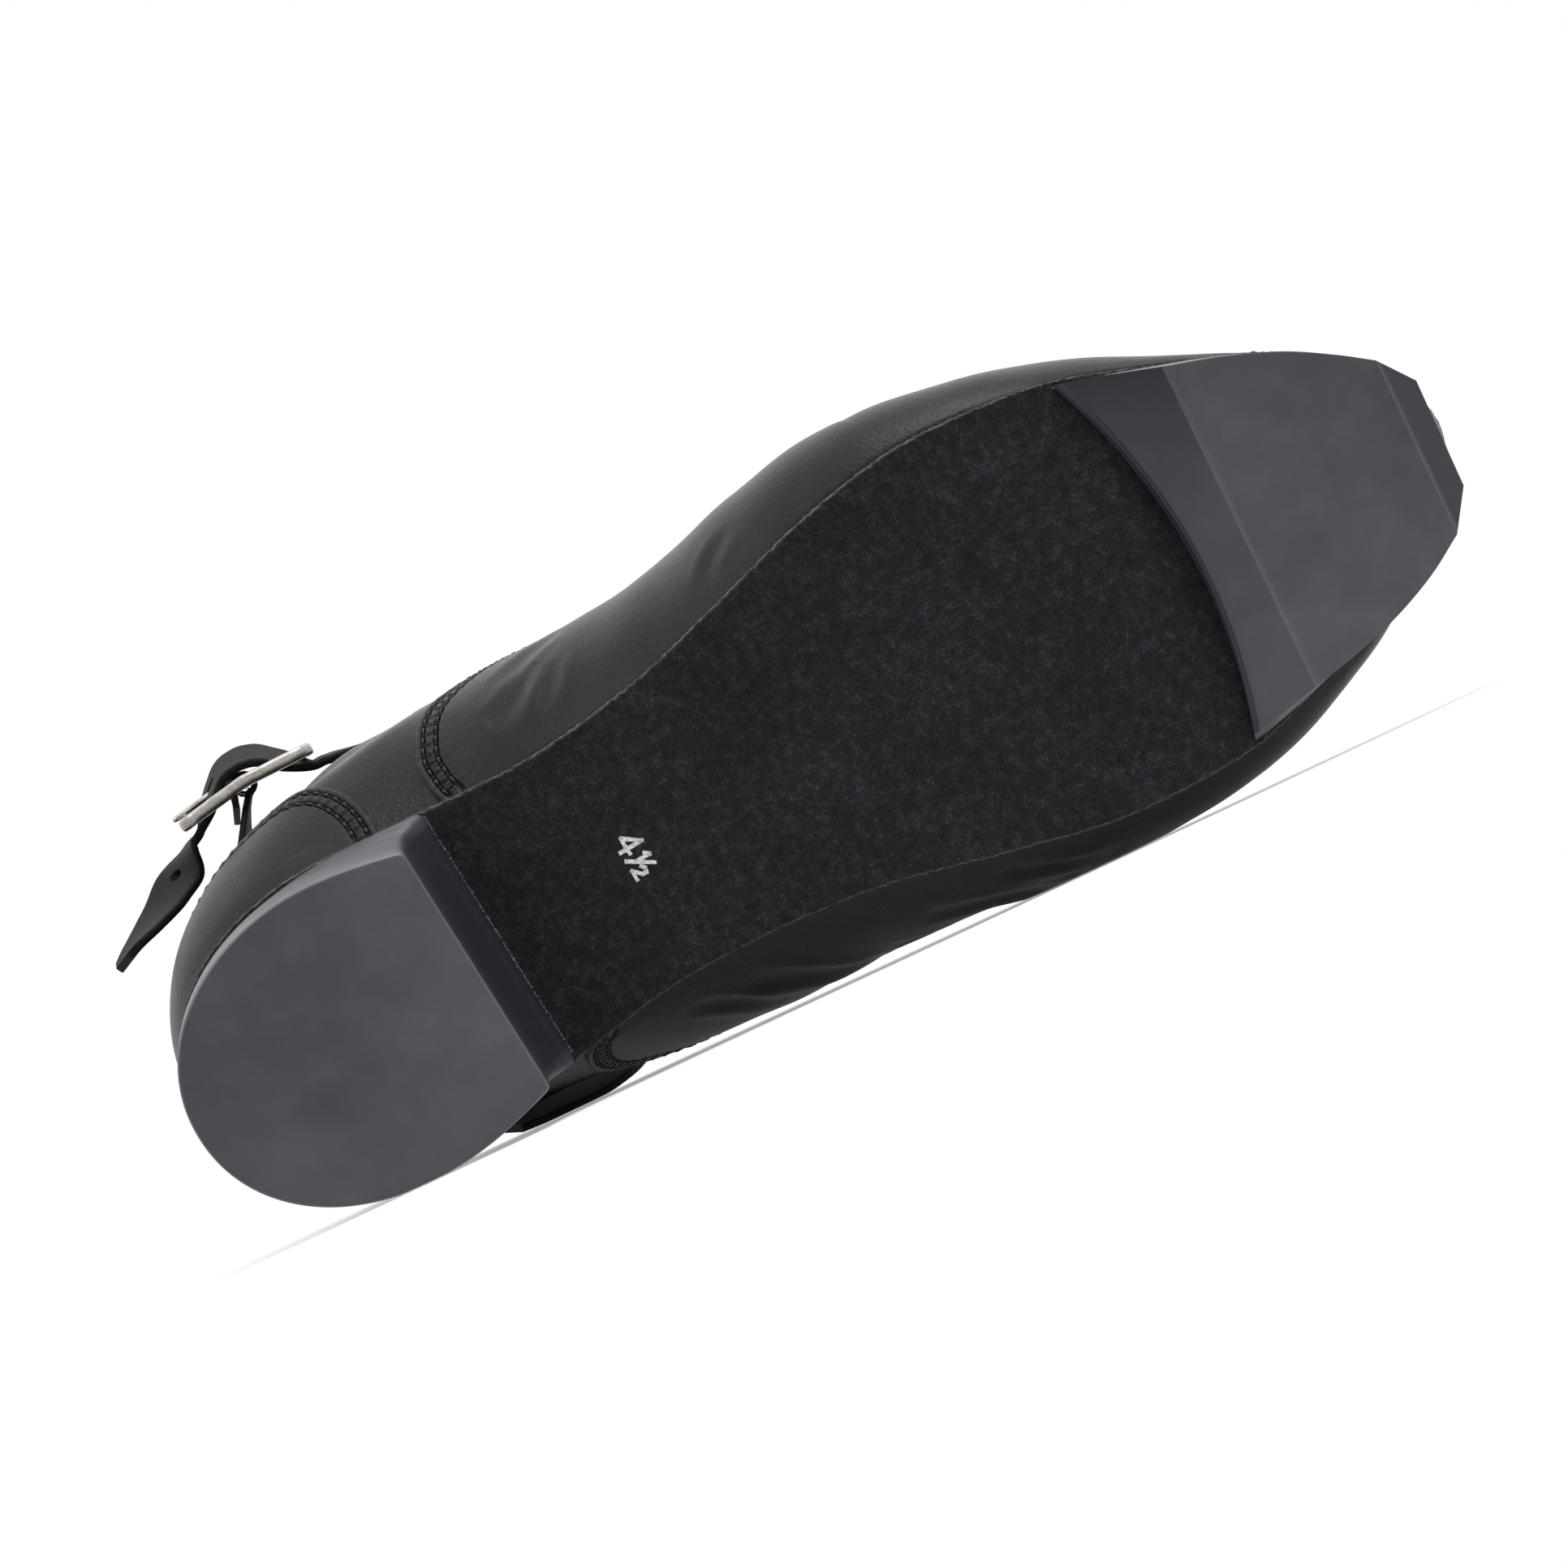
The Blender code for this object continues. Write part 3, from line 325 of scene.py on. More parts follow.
def make_leather(name, rough=0.33, tone=1.0, grain=0.8, seams=True, level=0.17):
    m, nt, b = new_material(name)
    co = node(nt, "ShaderNodeTexCoord").outputs["Object"]
    v1 = node(nt, "ShaderNodeTexVoronoi", feature="SMOOTH_F1")
    v1.inputs["Scale"].default_value = 1900.0
    v1.inputs["Randomness"].default_value = 1.0
    warp = noise(nt, co, 260.0, 3.0)
    wv = node(nt, "ShaderNodeVectorMath", operation="MULTIPLY_ADD")
    nt.links.new(node(nt, "ShaderNodeTexNoise", in_Scale=260.0).outputs["Color"], wv.inputs[0])
    wv.inputs[1].default_value = (0.0012, 0.0012, 0.0012)
    nt.links.new(co, wv.inputs[2])
    nt.links.new(wv.outputs[0], v1.inputs["Vector"])
    wrinkle = noise(nt, co, 1500.0, 4.0, 0.6, 0.5)
    mid = noise(nt, co, 120.0, 4.0)
    big = noise(nt, co, 22.0, 3.0)
    cell = v1.outputs["Distance"]
    height = math_node(nt, "ADD", math_node(nt, "MULTIPLY", cell, 0.8), math_node(nt, "MULTIPLY", wrinkle, 0.55))
    colour = ramp(nt, math_node(nt, "ADD", math_node(nt, "MULTIPLY", mid, 0.5), math_node(nt, "MULTIPLY", big, 0.5)),
                  [(0.3, (0.0035*tone, 0.0035*tone, 0.0038*tone)), (0.7, (0.0085*tone, 0.0083*tone, 0.0086*tone))])
    r = math_node(nt, "ADD", rough - 0.10, math_node(nt, "MULTIPLY", big, 0.12))
    r = math_node(nt, "ADD", r, math_node(nt, "MULTIPLY", wrinkle, 0.10))
    pairs = [(mid, 0.25, 0.0006), (height, 0.55*grain, 0.00022)]
    if seams:
        d, t = attribute(nt, "seam_d"), attribute(nt, "seam_t")
        # the cut edge is paler and rougher; the skin puckers between the stitches
        cut = math_node(nt, "SUBTRACT", 1.0, math_node(nt, "DIVIDE", d, 0.45), clamp=True)
        fray = math_node(nt, "MULTIPLY", cut, ramp(nt, noise(nt, co, 1400.0, 3.0), [(0.35, 0.25), (0.7, 1.0)]))
        colour = mix(nt, fray, colour, (0.075, 0.073, 0.070))
        r = math_node(nt, "ADD", r, math_node(nt, "MULTIPLY", cut, 0.3), clamp=True)
        wave = math_node(nt, "COSINE", math_node(nt, "MULTIPLY", t, 2*math.pi/2.7))
        band = math_node(nt, "SUBTRACT", 1.0, math_node(nt, "DIVIDE", math_node(nt, "ABSOLUTE", math_node(nt, "SUBTRACT", d, 2.85)), 2.6), clamp=True)
        rows = None
        for at in (1.6, 4.1):
            g = math_node(nt, "SUBTRACT", 1.0, math_node(nt, "DIVIDE", math_node(nt, "ABSOLUTE", math_node(nt, "SUBTRACT", d, at)), 0.55), clamp=True)
            rows = g if rows is None else math_node(nt, "ADD", rows, g)
        pucker = math_node(nt, "MULTIPLY", band, math_node(nt, "MULTIPLY", wave, -0.5))
        groove = math_node(nt, "SUBTRACT", pucker, math_node(nt, "MULTIPLY", rows, 0.9))
        # painted shade: the leather's colour is darkened along the two rows of stitches, in their grooves
        colour = mix(nt, math_node(nt, "MULTIPLY", rows, 0.6, clamp=True), colour, (0.003, 0.003, 0.003))
        pairs.insert(0, (groove, 0.9, 0.0005))
    nt.links.new(colour, b.inputs["Base Color"])
    nt.links.new(r, b.inputs["Roughness"])
    b.inputs["Specular IOR Level"].default_value = level
    b.inputs["Coat Weight"].default_value = 0.03
    b.inputs["Coat Roughness"].default_value = 0.22
    bump(nt, b, pairs)
    return m


def make_suede():
    m, nt, b = new_material("suede_nap")
    co = node(nt, "ShaderNodeTexCoord").outputs["Object"]
    fine, mid, big = noise(nt, co, 2600.0, 3.0, 0.7), noise(nt, co, 500.0, 4.0, 0.6), noise(nt, co, 45.0, 4.0, 0.6)
    c = math_node(nt, "ADD", math_node(nt, "MULTIPLY", fine, 0.6), math_node(nt, "MULTIPLY", mid, 0.4))
    colour = ramp(nt, c, [(0.36, (0.004, 0.0042, 0.0052)), (0.52, (0.0115, 0.0119, 0.0146)), (0.68, (0.040, 0.041, 0.047))])
    cloud = ramp(nt, big, [(0.3, 0.7), (0.7, 1.25)])
    mul = node(nt, "ShaderNodeMix", data_type="RGBA", blend_type="MULTIPLY")
    mul.inputs[0].default_value = 1.0
    nt.links.new(colour, mul.inputs[6]); nt.links.new(cloud, mul.inputs[7])
    colour = mul.outputs[2]
    d = attribute(nt, "seam_d")
    cut = math_node(nt, "SUBTRACT", 1.0, math_node(nt, "DIVIDE", d, 0.5), clamp=True)
    fray = math_node(nt, "MULTIPLY", cut, ramp(nt, noise(nt, co, 900.0, 4.0, 0.7), [(0.42, 0.0), (0.6, 1.0)]))
    colour = mix(nt, fray, colour, (0.09, 0.09, 0.085))
    nt.links.new(colour, b.inputs["Base Color"])
    b.inputs["Roughness"].default_value = 0.95
    b.inputs["Specular IOR Level"].default_value = 0.18
    b.inputs["Sheen Weight"].default_value = 0.06
    b.inputs["Sheen Roughness"].default_value = 0.5
    bump(nt, b, [(mid, 0.5, 0.0004), (fine, 0.7, 0.0002)])
    return m


def make_fibre():
    m, nt, b = new_material("moulded_fibreglass")
    co = node(nt, "ShaderNodeTexCoord").outputs["Object"]
    cloud, mid, fine = noise(nt, co, 28.0, 5.0, 0.6, 0.4), noise(nt, co, 150.0, 5.0, 0.6), noise(nt, co, 1600.0, 3.0)
    # light drag marks along the sole
    mp = node(nt, "ShaderNodeMapping")
    mp.inputs["Rotation"].default_value = (0.3, 0.2, 0.5)
    mp.inputs["Scale"].default_value = (40.0, 1600.0, 1600.0)
    nt.links.new(co, mp.inputs["Vector"])
    sn = node(nt, "ShaderNodeTexNoise", in_Scale=1.0, in_Detail=2.0)
    nt.links.new(mp.outputs[0], sn.inputs["Vector"])
    scratch = ramp(nt, sn.outputs["Fac"], [(0.62, 0.0), (0.70, 1.0)])
    colour = ramp(nt, math_node(nt, "ADD", math_node(nt, "MULTIPLY", cloud, 0.75), math_node(nt, "MULTIPLY", mid, 0.25)),
                  [(0.32, (0.027, 0.030, 0.036)), (0.52, (0.045, 0.049, 0.058)), (0.7, (0.066, 0.072, 0.084))])
    # a pale line along some edges of the heel and the toe tip: partly wear, partly a painted highlight where the edges
    # catch the light
    wear_and_painted_highlight = attribute(nt, "wear_and_painted_highlight")
    colour = mix(nt, wear_and_painted_highlight, colour, (0.17, 0.175, 0.18))
    # tone is painted shade: it mixes the colour towards near-black blue on the heel's breast and on parts of the toe
    # tip, and also makes them rougher
    tone = attribute(nt, "tone")
    colour = mix(nt, tone, colour, (0.0035, 0.006, 0.011))
    nt.links.new(colour, b.inputs["Base Color"])
    r = math_node(nt, "ADD", 0.23, math_node(nt, "MULTIPLY", cloud, 0.20))
    r = math_node(nt, "ADD", r, math_node(nt, "MULTIPLY", fine, 0.06))
    r = math_node(nt, "ADD", r, math_node(nt, "MULTIPLY", scratch, 0.06))
    r = math_node(nt, "ADD", r, math_node(nt, "MULTIPLY", tone, 0.30), clamp=True)
    nt.links.new(r, b.inputs["Roughness"])
    lines = attribute(nt, "machined")
    bump(nt, b, [(mid, 0.08, 0.0005), (scratch, 0.05, 0.0001), (fine, 0.12, 0.00008), (lines, 0.6, 0.00006)])
    return m


def make_metal():
    m, nt, b = new_material("aged_nickel")
    co = node(nt, "ShaderNodeTexCoord").outputs["Object"]
    n1, n2 = noise(nt, co, 260.0, 6.0, 0.65), noise(nt, co, 1500.0, 4.0, 0.6)
    colour = ramp(nt, math_node(nt, "ADD", math_node(nt, "MULTIPLY", n1, 0.6), math_node(nt, "MULTIPLY", n2, 0.4)),
                  [(0.30, (0.20, 0.18, 0.155)), (0.46, (0.40, 0.375, 0.345)), (0.66, (0.60, 0.58, 0.55))])
    nt.links.new(colour, b.inputs["Base Color"])
    b.inputs["Metallic"].default_value = 1.0
    nt.links.new(math_node(nt, "ADD", 0.2, math_node(nt, "MULTIPLY", n1, 0.3)), b.inputs["Roughness"])
    bump(nt, b, [(n1, 0.12, 0.0002), (n2, 0.12, 0.00005)])
    return m


def make_rough(name, low, high, scale=700.0, rough=0.9, strength=0.6, dist=0.0004, sheen=0.0):
    m, nt, b = new_material(name)
    co = node(nt, "ShaderNodeTexCoord").outputs["Object"]
    n1, n2 = noise(nt, co, scale, 5.0, 0.65), noise(nt, co, scale*3.1, 3.0, 0.6)
    colour = ramp(nt, math_node(nt, "ADD", math_node(nt, "MULTIPLY", n1, 0.6), math_node(nt, "MULTIPLY", n2, 0.4)), [(0.35, low), (0.66, high)])
    nt.links.new(colour, b.inputs["Base Color"])
    b.inputs["Roughness"].default_value = rough
    b.inputs["Sheen Weight"].default_value = sheen
    bump(nt, b, [(n1, strength, dist), (n2, strength, dist*0.4)])
    return m


def make_cord():
    m, nt, b = new_material("woven_cord")
    co = node(nt, "ShaderNodeTexCoord").outputs["Object"]
    hs = []
    for rot in ((0.5, 0.2, 0.7), (-0.4, 0.9, -0.6)):
        mp = node(nt, "ShaderNodeMapping")
        mp.inputs["Rotation"].default_value = rot
        nt.links.new(co, mp.inputs["Vector"])
        w = node(nt, "ShaderNodeTexWave", in_Scale=620.0, in_Distortion=0.6)
        nt.links.new(mp.outputs[0], w.inputs["Vector"])
        hs.append(w.outputs["Fac"])
    h = math_node(nt, "MAXIMUM", hs[0], hs[1])
    nt.links.new(ramp(nt, h, [(0.2, (0.003, 0.003, 0.003)), (0.9, (0.022, 0.022, 0.023))]), b.inputs["Base Color"])
    b.inputs["Roughness"].default_value = 0.75
    bump(nt, b, [(h, 0.8, 0.0003)])
    return m


LEATHER = make_leather("grain_leather")
QUARTER = make_leather("quarter_leather", rough=0.31, tone=1.1)
STRAPS = make_leather("strap_leather", rough=0.62, tone=0.6, grain=1.4, seams=False, level=0.12)
SUEDE = make_suede()
FIBRE = make_fibre()
METAL = make_metal()
LINING = make_rough("lining_leather", (0.018, 0.017, 0.016), (0.04, 0.038, 0.036), 500.0, 0.75, 0.35, 0.0003)
SOCK = make_rough("sock_board", (0.03, 0.028, 0.026), (0.06, 0.056, 0.052), 420.0, 0.8, 0.4, 0.0003)
FLESH = make_rough("strap_flesh_side", (0.006, 0.006, 0.007), (0.03, 0.03, 0.032), 900.0, 0.95, 0.9, 0.0004, 0.1)
THREAD = make_rough("black_thread", (0.0015, 0.0015, 0.0015), (0.010, 0.010, 0.010), 3000.0, 0.6, 0.5, 0.0001)
# near-black discs: painted shade standing for the hollows of needle holes and eyelet holes
HOLE_SHADE = make_rough("needle_hole_shade", (0.0006, 0.0006, 0.0006), (0.002, 0.002, 0.002), 2000.0, 1.0, 0.2, 0.0001)
GLUE = make_rough("pale_glue_line", (0.03, 0.03, 0.028), (0.30, 0.29, 0.27), 900.0, 0.7, 0.8, 0.0003)
WELT = make_rough("rough_edge_band", (0.002, 0.002, 0.002), (0.012, 0.012, 0.012), 900.0, 0.9, 1.0, 0.0006)
CORD = make_cord()


# ------------------------------------------------------------------ mesh tools
def add(name, verts, faces, mat, smooth=40.0, attrs=None, weld=1e-6, recalc=False):
    me = bpy.data.meshes.new(name)
    v = world(np.asarray(verts, float).reshape(-1, 3))
    me.from_pydata([tuple(p) for p in v], [], [tuple(int(i) for i in f) for f in faces])
    for key, values in (attrs or {}).items():
        a = me.attributes.new(key, "FLOAT", "POINT")
        a.data.foreach_set("value", np.asarray(values, np.float32).ravel())
    bm = bmesh.new()
    bm.from_mesh(me)
    if weld:
        bmesh.ops.remove_doubles(bm, verts=bm.verts, dist=weld)
    if recalc:
        bmesh.ops.recalc_face_normals(bm, faces=bm.faces)
    bm.to_mesh(me)
    bm.free()
    ob = bpy.data.objects.new(name, me)
    bpy.context.scene.collection.objects.link(ob)
    me.materials.append(mat)
    me.shade_smooth()
    if smooth:
        me.set_sharp_from_angle(angle=math.radians(smooth))
    return ob


def grid_faces(rows, cols, closed=False, start=0, flip=False):
    out = []
    for i in range(rows - 1):
        for j in range(cols if closed else cols - 1):
            k = (j + 1) % cols
            f = (start + i*cols + j, start + i*cols + k, start + (i+1)*cols + k, start + (i+1)*cols + j)
            out.append(f[::-1] if flip else f)
    return out


def loft(name, rings, mat, caps=True, **kw):
    rings = np.asarray(rings, float)
    m, n = rings.shape[:2]
    faces = grid_faces(m, n, closed=True)
    if caps:
        faces.append(tuple(range(n))[::-1])
        faces.append(tuple((m-1)*n + j for j in range(n)))
    kw.setdefault("recalc", True)
    return add(name, rings.reshape(-1, 3), faces, mat, **kw)


def done(ob, slot, *nodes):
    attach(ob, "root")
    if nodes:
        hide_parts(*nodes)
    return ob


def arc_len(p):
    return np.r_[0, np.cumsum(np.linalg.norm(np.diff(p, axis=0), axis=1))]


def frames_along(p, up_hint=None):
    t = np.gradient(p, axis=0)
    t /= np.linalg.norm(t, axis=1, keepdims=True)
    ref = np.tile((0.0, 0.0, 1.0), (len(p), 1)) if up_hint is None else np.asarray(up_hint, float)
    u = ref - (ref * t).sum(1, keepdims=True) * t
    bad = np.linalg.norm(u, axis=1) < 1e-3
    u[bad] = np.cross(t[bad], (1.0, 0.0, 0.0))
    u /= np.linalg.norm(u, axis=1, keepdims=True)
    return t, u, np.cross(t, u)


def tube(name, p, r, mat, sides=10, caps=True, hint=None, **kw):
    p = np.asarray(p, float)
    r = np.broadcast_to(r, (len(p),))
    _, u, w = frames_along(p, hint)
    a = np.linspace(0, 2*math.pi, sides, endpoint=False)
    rings = p[:, None] + r[:, None, None]*(u[:, None]*np.cos(a)[None, :, None] + w[:, None]*np.sin(a)[None, :, None])
    return loft(name, rings, mat, caps=caps, **kw)


STITCH = {"verts": [], "faces": [], "n": 0}
HOLE_SHADE_DISCS = {"verts": [], "faces": [], "n": 0}


def put(store, verts, faces):
    store["verts"].append(verts)
    store["faces"] += [tuple(i + store["n"] for i in f) for f in faces]
    store["n"] += len(verts)


def stitch_row(p, n, pitch=2.7, length=1.9, radius=0.30, lift=0.06, phase=0.0):
    """Thread capsules along p, with a dark disc of painted shade for the needle hole in each gap; n is the surface
    normal.
    """
    s = arc_len(p)
    for c in np.arange(pitch*(0.5 + phase), s[-1] - pitch*0.4, pitch):
        k = [np.array([np.interp(c + x, s, p[:, i]) for i in range(3)]) for x in (-length/2, -length/4, 0, length/4, length/2)]
        nn = np.array([np.interp(c, s, n[:, i]) for i in range(3)])
        nn /= np.linalg.norm(nn)
        t = k[4] - k[0]
        t /= np.linalg.norm(t)
        w = np.cross(nn, t)
        rings = []
        for q, up, rr in zip(k, (-0.28, 0.02, 0.1, 0.02, -0.28), (0.35, 0.9, 1.0, 0.9, 0.35)):
            for a in np.linspace(0, 2*math.pi, 7, endpoint=False):
                rings.append(q + nn*(lift + up + radius*rr*0.75*math.sin(a)) + w*radius*rr*math.cos(a))
        put(STITCH, np.array(rings), grid_faces(5, 7, closed=True) + [tuple(range(7))[::-1], tuple(range(28, 35))])
        # the needle hole is a flat dark disc of painted shade
        h = np.array([np.interp(c + pitch/2, s, p[:, i]) for i in range(3)])
        a = np.linspace(0, 2*math.pi, 9, endpoint=False)
        ring = h + nn*0.07 + (t[None]*np.cos(a)[:, None]*0.36 + w[None]*np.sin(a)[:, None]*0.42)
        put(HOLE_SHADE_DISCS, ring, [tuple(range(9))])


# ------------------------------------------------------------------ the seams
# (s, v) of the vamp's and the counter's edge, from the sole up
VAMP = {
    -1: ((4.31, 0.0), (4.28, 0.02), (4.255, 0.06), (4.25, 0.12), (4.32, 0.20), (4.43, 0.29), (4.62, 0.38), (4.95, 0.455),
         (5.4, 0.49), (5.95, 0.51), (6.5, 0.53), (7.0, 0.56), (7.5, 0.61), (8.0, 0.68), (8.5, 0.79), (8.85, 0.90), (9.0, 1.0)),
    1: ((4.33, 0.0), (4.28, 0.02), (4.22, 0.06), (4.18, 0.13), (4.18, 0.25), (4.25, 0.37), (4.42, 0.47), (4.8, 0.525),
        (5.4, 0.53), (5.95, 0.53), (6.5, 0.54), (7.0, 0.57), (7.5, 0.62), (8.0, 0.69), (8.5, 0.80), (8.85, 0.91), (9.0, 1.0)),
}
COUNTER = {
    -1: ((3.78, 0.0), (3.76, 0.07), (3.69, 0.16), (3.56, 0.27), (3.38, 0.36), (3.12, 0.42), (2.7, 0.465), (2.1, 0.50), (1.2, 0.53), (0.0, 0.54)),
    1: ((3.76, 0.0), (3.74, 0.08), (3.66, 0.2), (3.5, 0.31), (3.2, 0.40), (2.7, 0.46), (2.1, 0.50), (1.2, 0.53), (0.0, 0.54)),
}


def seam_curve(table, side, n):
    """n points of a seam, evenly spaced on the shoe."""
    t = np.linspace(0, len(table) - 1, 900)
    sv = rows_at(np.array(table, float), t)
    sv[:, 1] = np.clip(sv[:, 1], 0, 1)
    a = arc_len(wall(sv[:, 0], np.full(900, side), sv[:, 1]))
    k = np.linspace(0, a[-1], n)
    return np.c_[np.interp(k, a, sv[:, 0]), np.interp(k, a, sv[:, 1])], a[-1]


def inner_row(table, side, dist, n=400):
    """The seam's curve moved into its own piece by dist, on the surface."""
    sv, total = seam_curve(table, side, n)
    e = 1e-3
    ps = (wall(np.clip(sv[:, 0] + e, 0, LAST), side, sv[:, 1]) - wall(np.clip(sv[:, 0] - e, 0, LAST), side, sv[:, 1])) / (np.clip(sv[:, 0] + e, 0, LAST) - np.clip(sv[:, 0] - e, 0, LAST))[:, None]
    pv = (wall(sv[:, 0], side, np.clip(sv[:, 1] + e, 0, 1)) - wall(sv[:, 0], side, np.clip(sv[:, 1] - e, 0, 1))) / (np.clip(sv[:, 1] + e, 0, 1) - np.clip(sv[:, 1] - e, 0, 1))[:, None]
    p = wall(sv[:, 0], side, sv[:, 1])
    t = np.gradient(p, axis=0)
    t /= np.linalg.norm(t, axis=1, keepdims=True)
    nrm = normal(sv[:, 0], np.full(n, side), sv[:, 1])
    w = np.cross(nrm, t)
    # the in-surface step, solved for s and v
    g11, g12, g22 = (ps*ps).sum(1), (ps*pv).sum(1), (pv*pv).sum(1)
    b1, b2 = (ps*w).sum(1), (pv*w).sum(1)
    det = g11*g22 - g12*g12
    ds, dv = (b1*g22 - b2*g12)/det, (b2*g11 - b1*g12)/det
    return sv, ds*dist, dv*dist


SEAM_LINES = {}


def seam_points(kind):
    if kind not in SEAM_LINES:
        table = VAMP if kind == "vamp" else COUNTER
        out = []
        for side in (-1, 1):
            sv, _ = seam_curve(table[side], side, 700)
            out.append(wall(sv[:, 0], np.full(700, side), sv[:, 1]))
        # one line: up the lateral side, then down the medial one
        line = np.vstack((out[0], out[1][::-1]))
        SEAM_LINES[kind] = (line, arc_len(line))
    return SEAM_LINES[kind]


def seam_measure(p, kind):
    """Distance to a seam and position along it."""
    line, a = seam_points(kind)
    flat = p.reshape(-1, 3)
    d, t = np.full(len(flat), 99.0), np.zeros(len(flat))
    for i in range(0, len(flat), 3000):
        block = flat[i:i + 3000]
        dist = ((block[:, None] - line[None, ::2])**2).sum(2)
        k = dist.argmin(1)
        d[i:i + 3000] = np.sqrt(dist[np.arange(len(block)), k])
        t[i:i + 3000] = a[::2][k]
    return d.reshape(p.shape[:-1]), t.reshape(p.shape[:-1])


# ------------------------------------------------------------------ upper
def base_skin():
    """Quarters and the hidden ground under the overlays, lining, collar edge and lasting margin."""
    st = np.linspace(0, LAST, 321)
    s = np.r_[st, st[::-1][1:-1]]
    side = np.r_[np.full(len(st), -1), np.full(len(st) - 2, 1)]
    v = np.linspace(0, 1, 61)**0.95
    outer = skin(s[None], side[None], v[:, None], -0.70 - 0.9*np.clip((s[None] - 11.0)/1.5, 0, 1)*np.clip((0.7 - v[:, None])/0.3, 0, 1))
    n_out = normal(s[None], side[None], v[:, None])
    inner = wall(s[None], side[None], v[:, None]) - n_out*(WALL + 0.2)
    closed_top = (s >= THROAT)
    cols = len(s)
    # rolled collar edge
    lip = []
    for a in np.linspace(0.15, 0.85, 6)*math.pi:
        mid = (outer[-1] + inner[-1])/2
        half = (outer[-1] - inner[-1])/2
        up = np.cross(half, np.gradient(outer[-1], axis=0))
        up /= np.maximum(np.linalg.norm(up, axis=1, keepdims=True), 1e-9)
        up *= np.sign(up[:, 2:3] + 1e-9)
        row = mid + half*math.cos(a) + up*np.linalg.norm(half, axis=1, keepdims=True)*math.sin(a)
        row[closed_top] = outer[-1][closed_top]
        lip.append(row)
    p, n = edge(s, side)
    turn = p - 1.3*n
    inn = p - (MARGIN + 0.4)*n
    z = lambda q, h: np.c_[q, under(q[:, 0]) + SOLE_T + GAP + h]
    rows = [z(inn, 0.0), z(turn, 0.0), *outer, *lip, *inner[::-1][1:], z(p - 3.2*n, WALL - 0.1), z(inn, WALL - 0.1), z(inn, 0.0)]
    rows = np.array(rows)
    m = len(rows)
    faces = grid_faces(m, cols, closed=True)
    mats = []
    split = 2 + len(v) + 3
    for f in faces:
        mats.append(1 if f[0] // cols >= split else 0)
    d1, t1 = seam_measure(rows, "vamp")
    d = np.full(rows.shape[:2], 99.0)
    ob = add("upper_skin", rows.reshape(-1, 3), faces, QUARTER, smooth=60, attrs={"seam_d": d, "seam_t": t1}, weld=None)
    ob.data.materials.append(LINING)
    ob.data.polygons.foreach_set("material_index", np.array(mats, np.int32))
    bm = bmesh.new()
    bm.from_mesh(ob.data)
    bmesh.ops.remove_doubles(bm, verts=bm.verts, dist=1e-5)
    bmesh.ops.dissolve_degenerate(bm, dist=1e-6, edges=bm.edges)
    bmesh.ops.recalc_face_normals(bm, faces=bm.faces)
    bm.to_mesh(ob.data)
    bm.free()
    return done(ob, "black_leather", "upper")


base_skin()


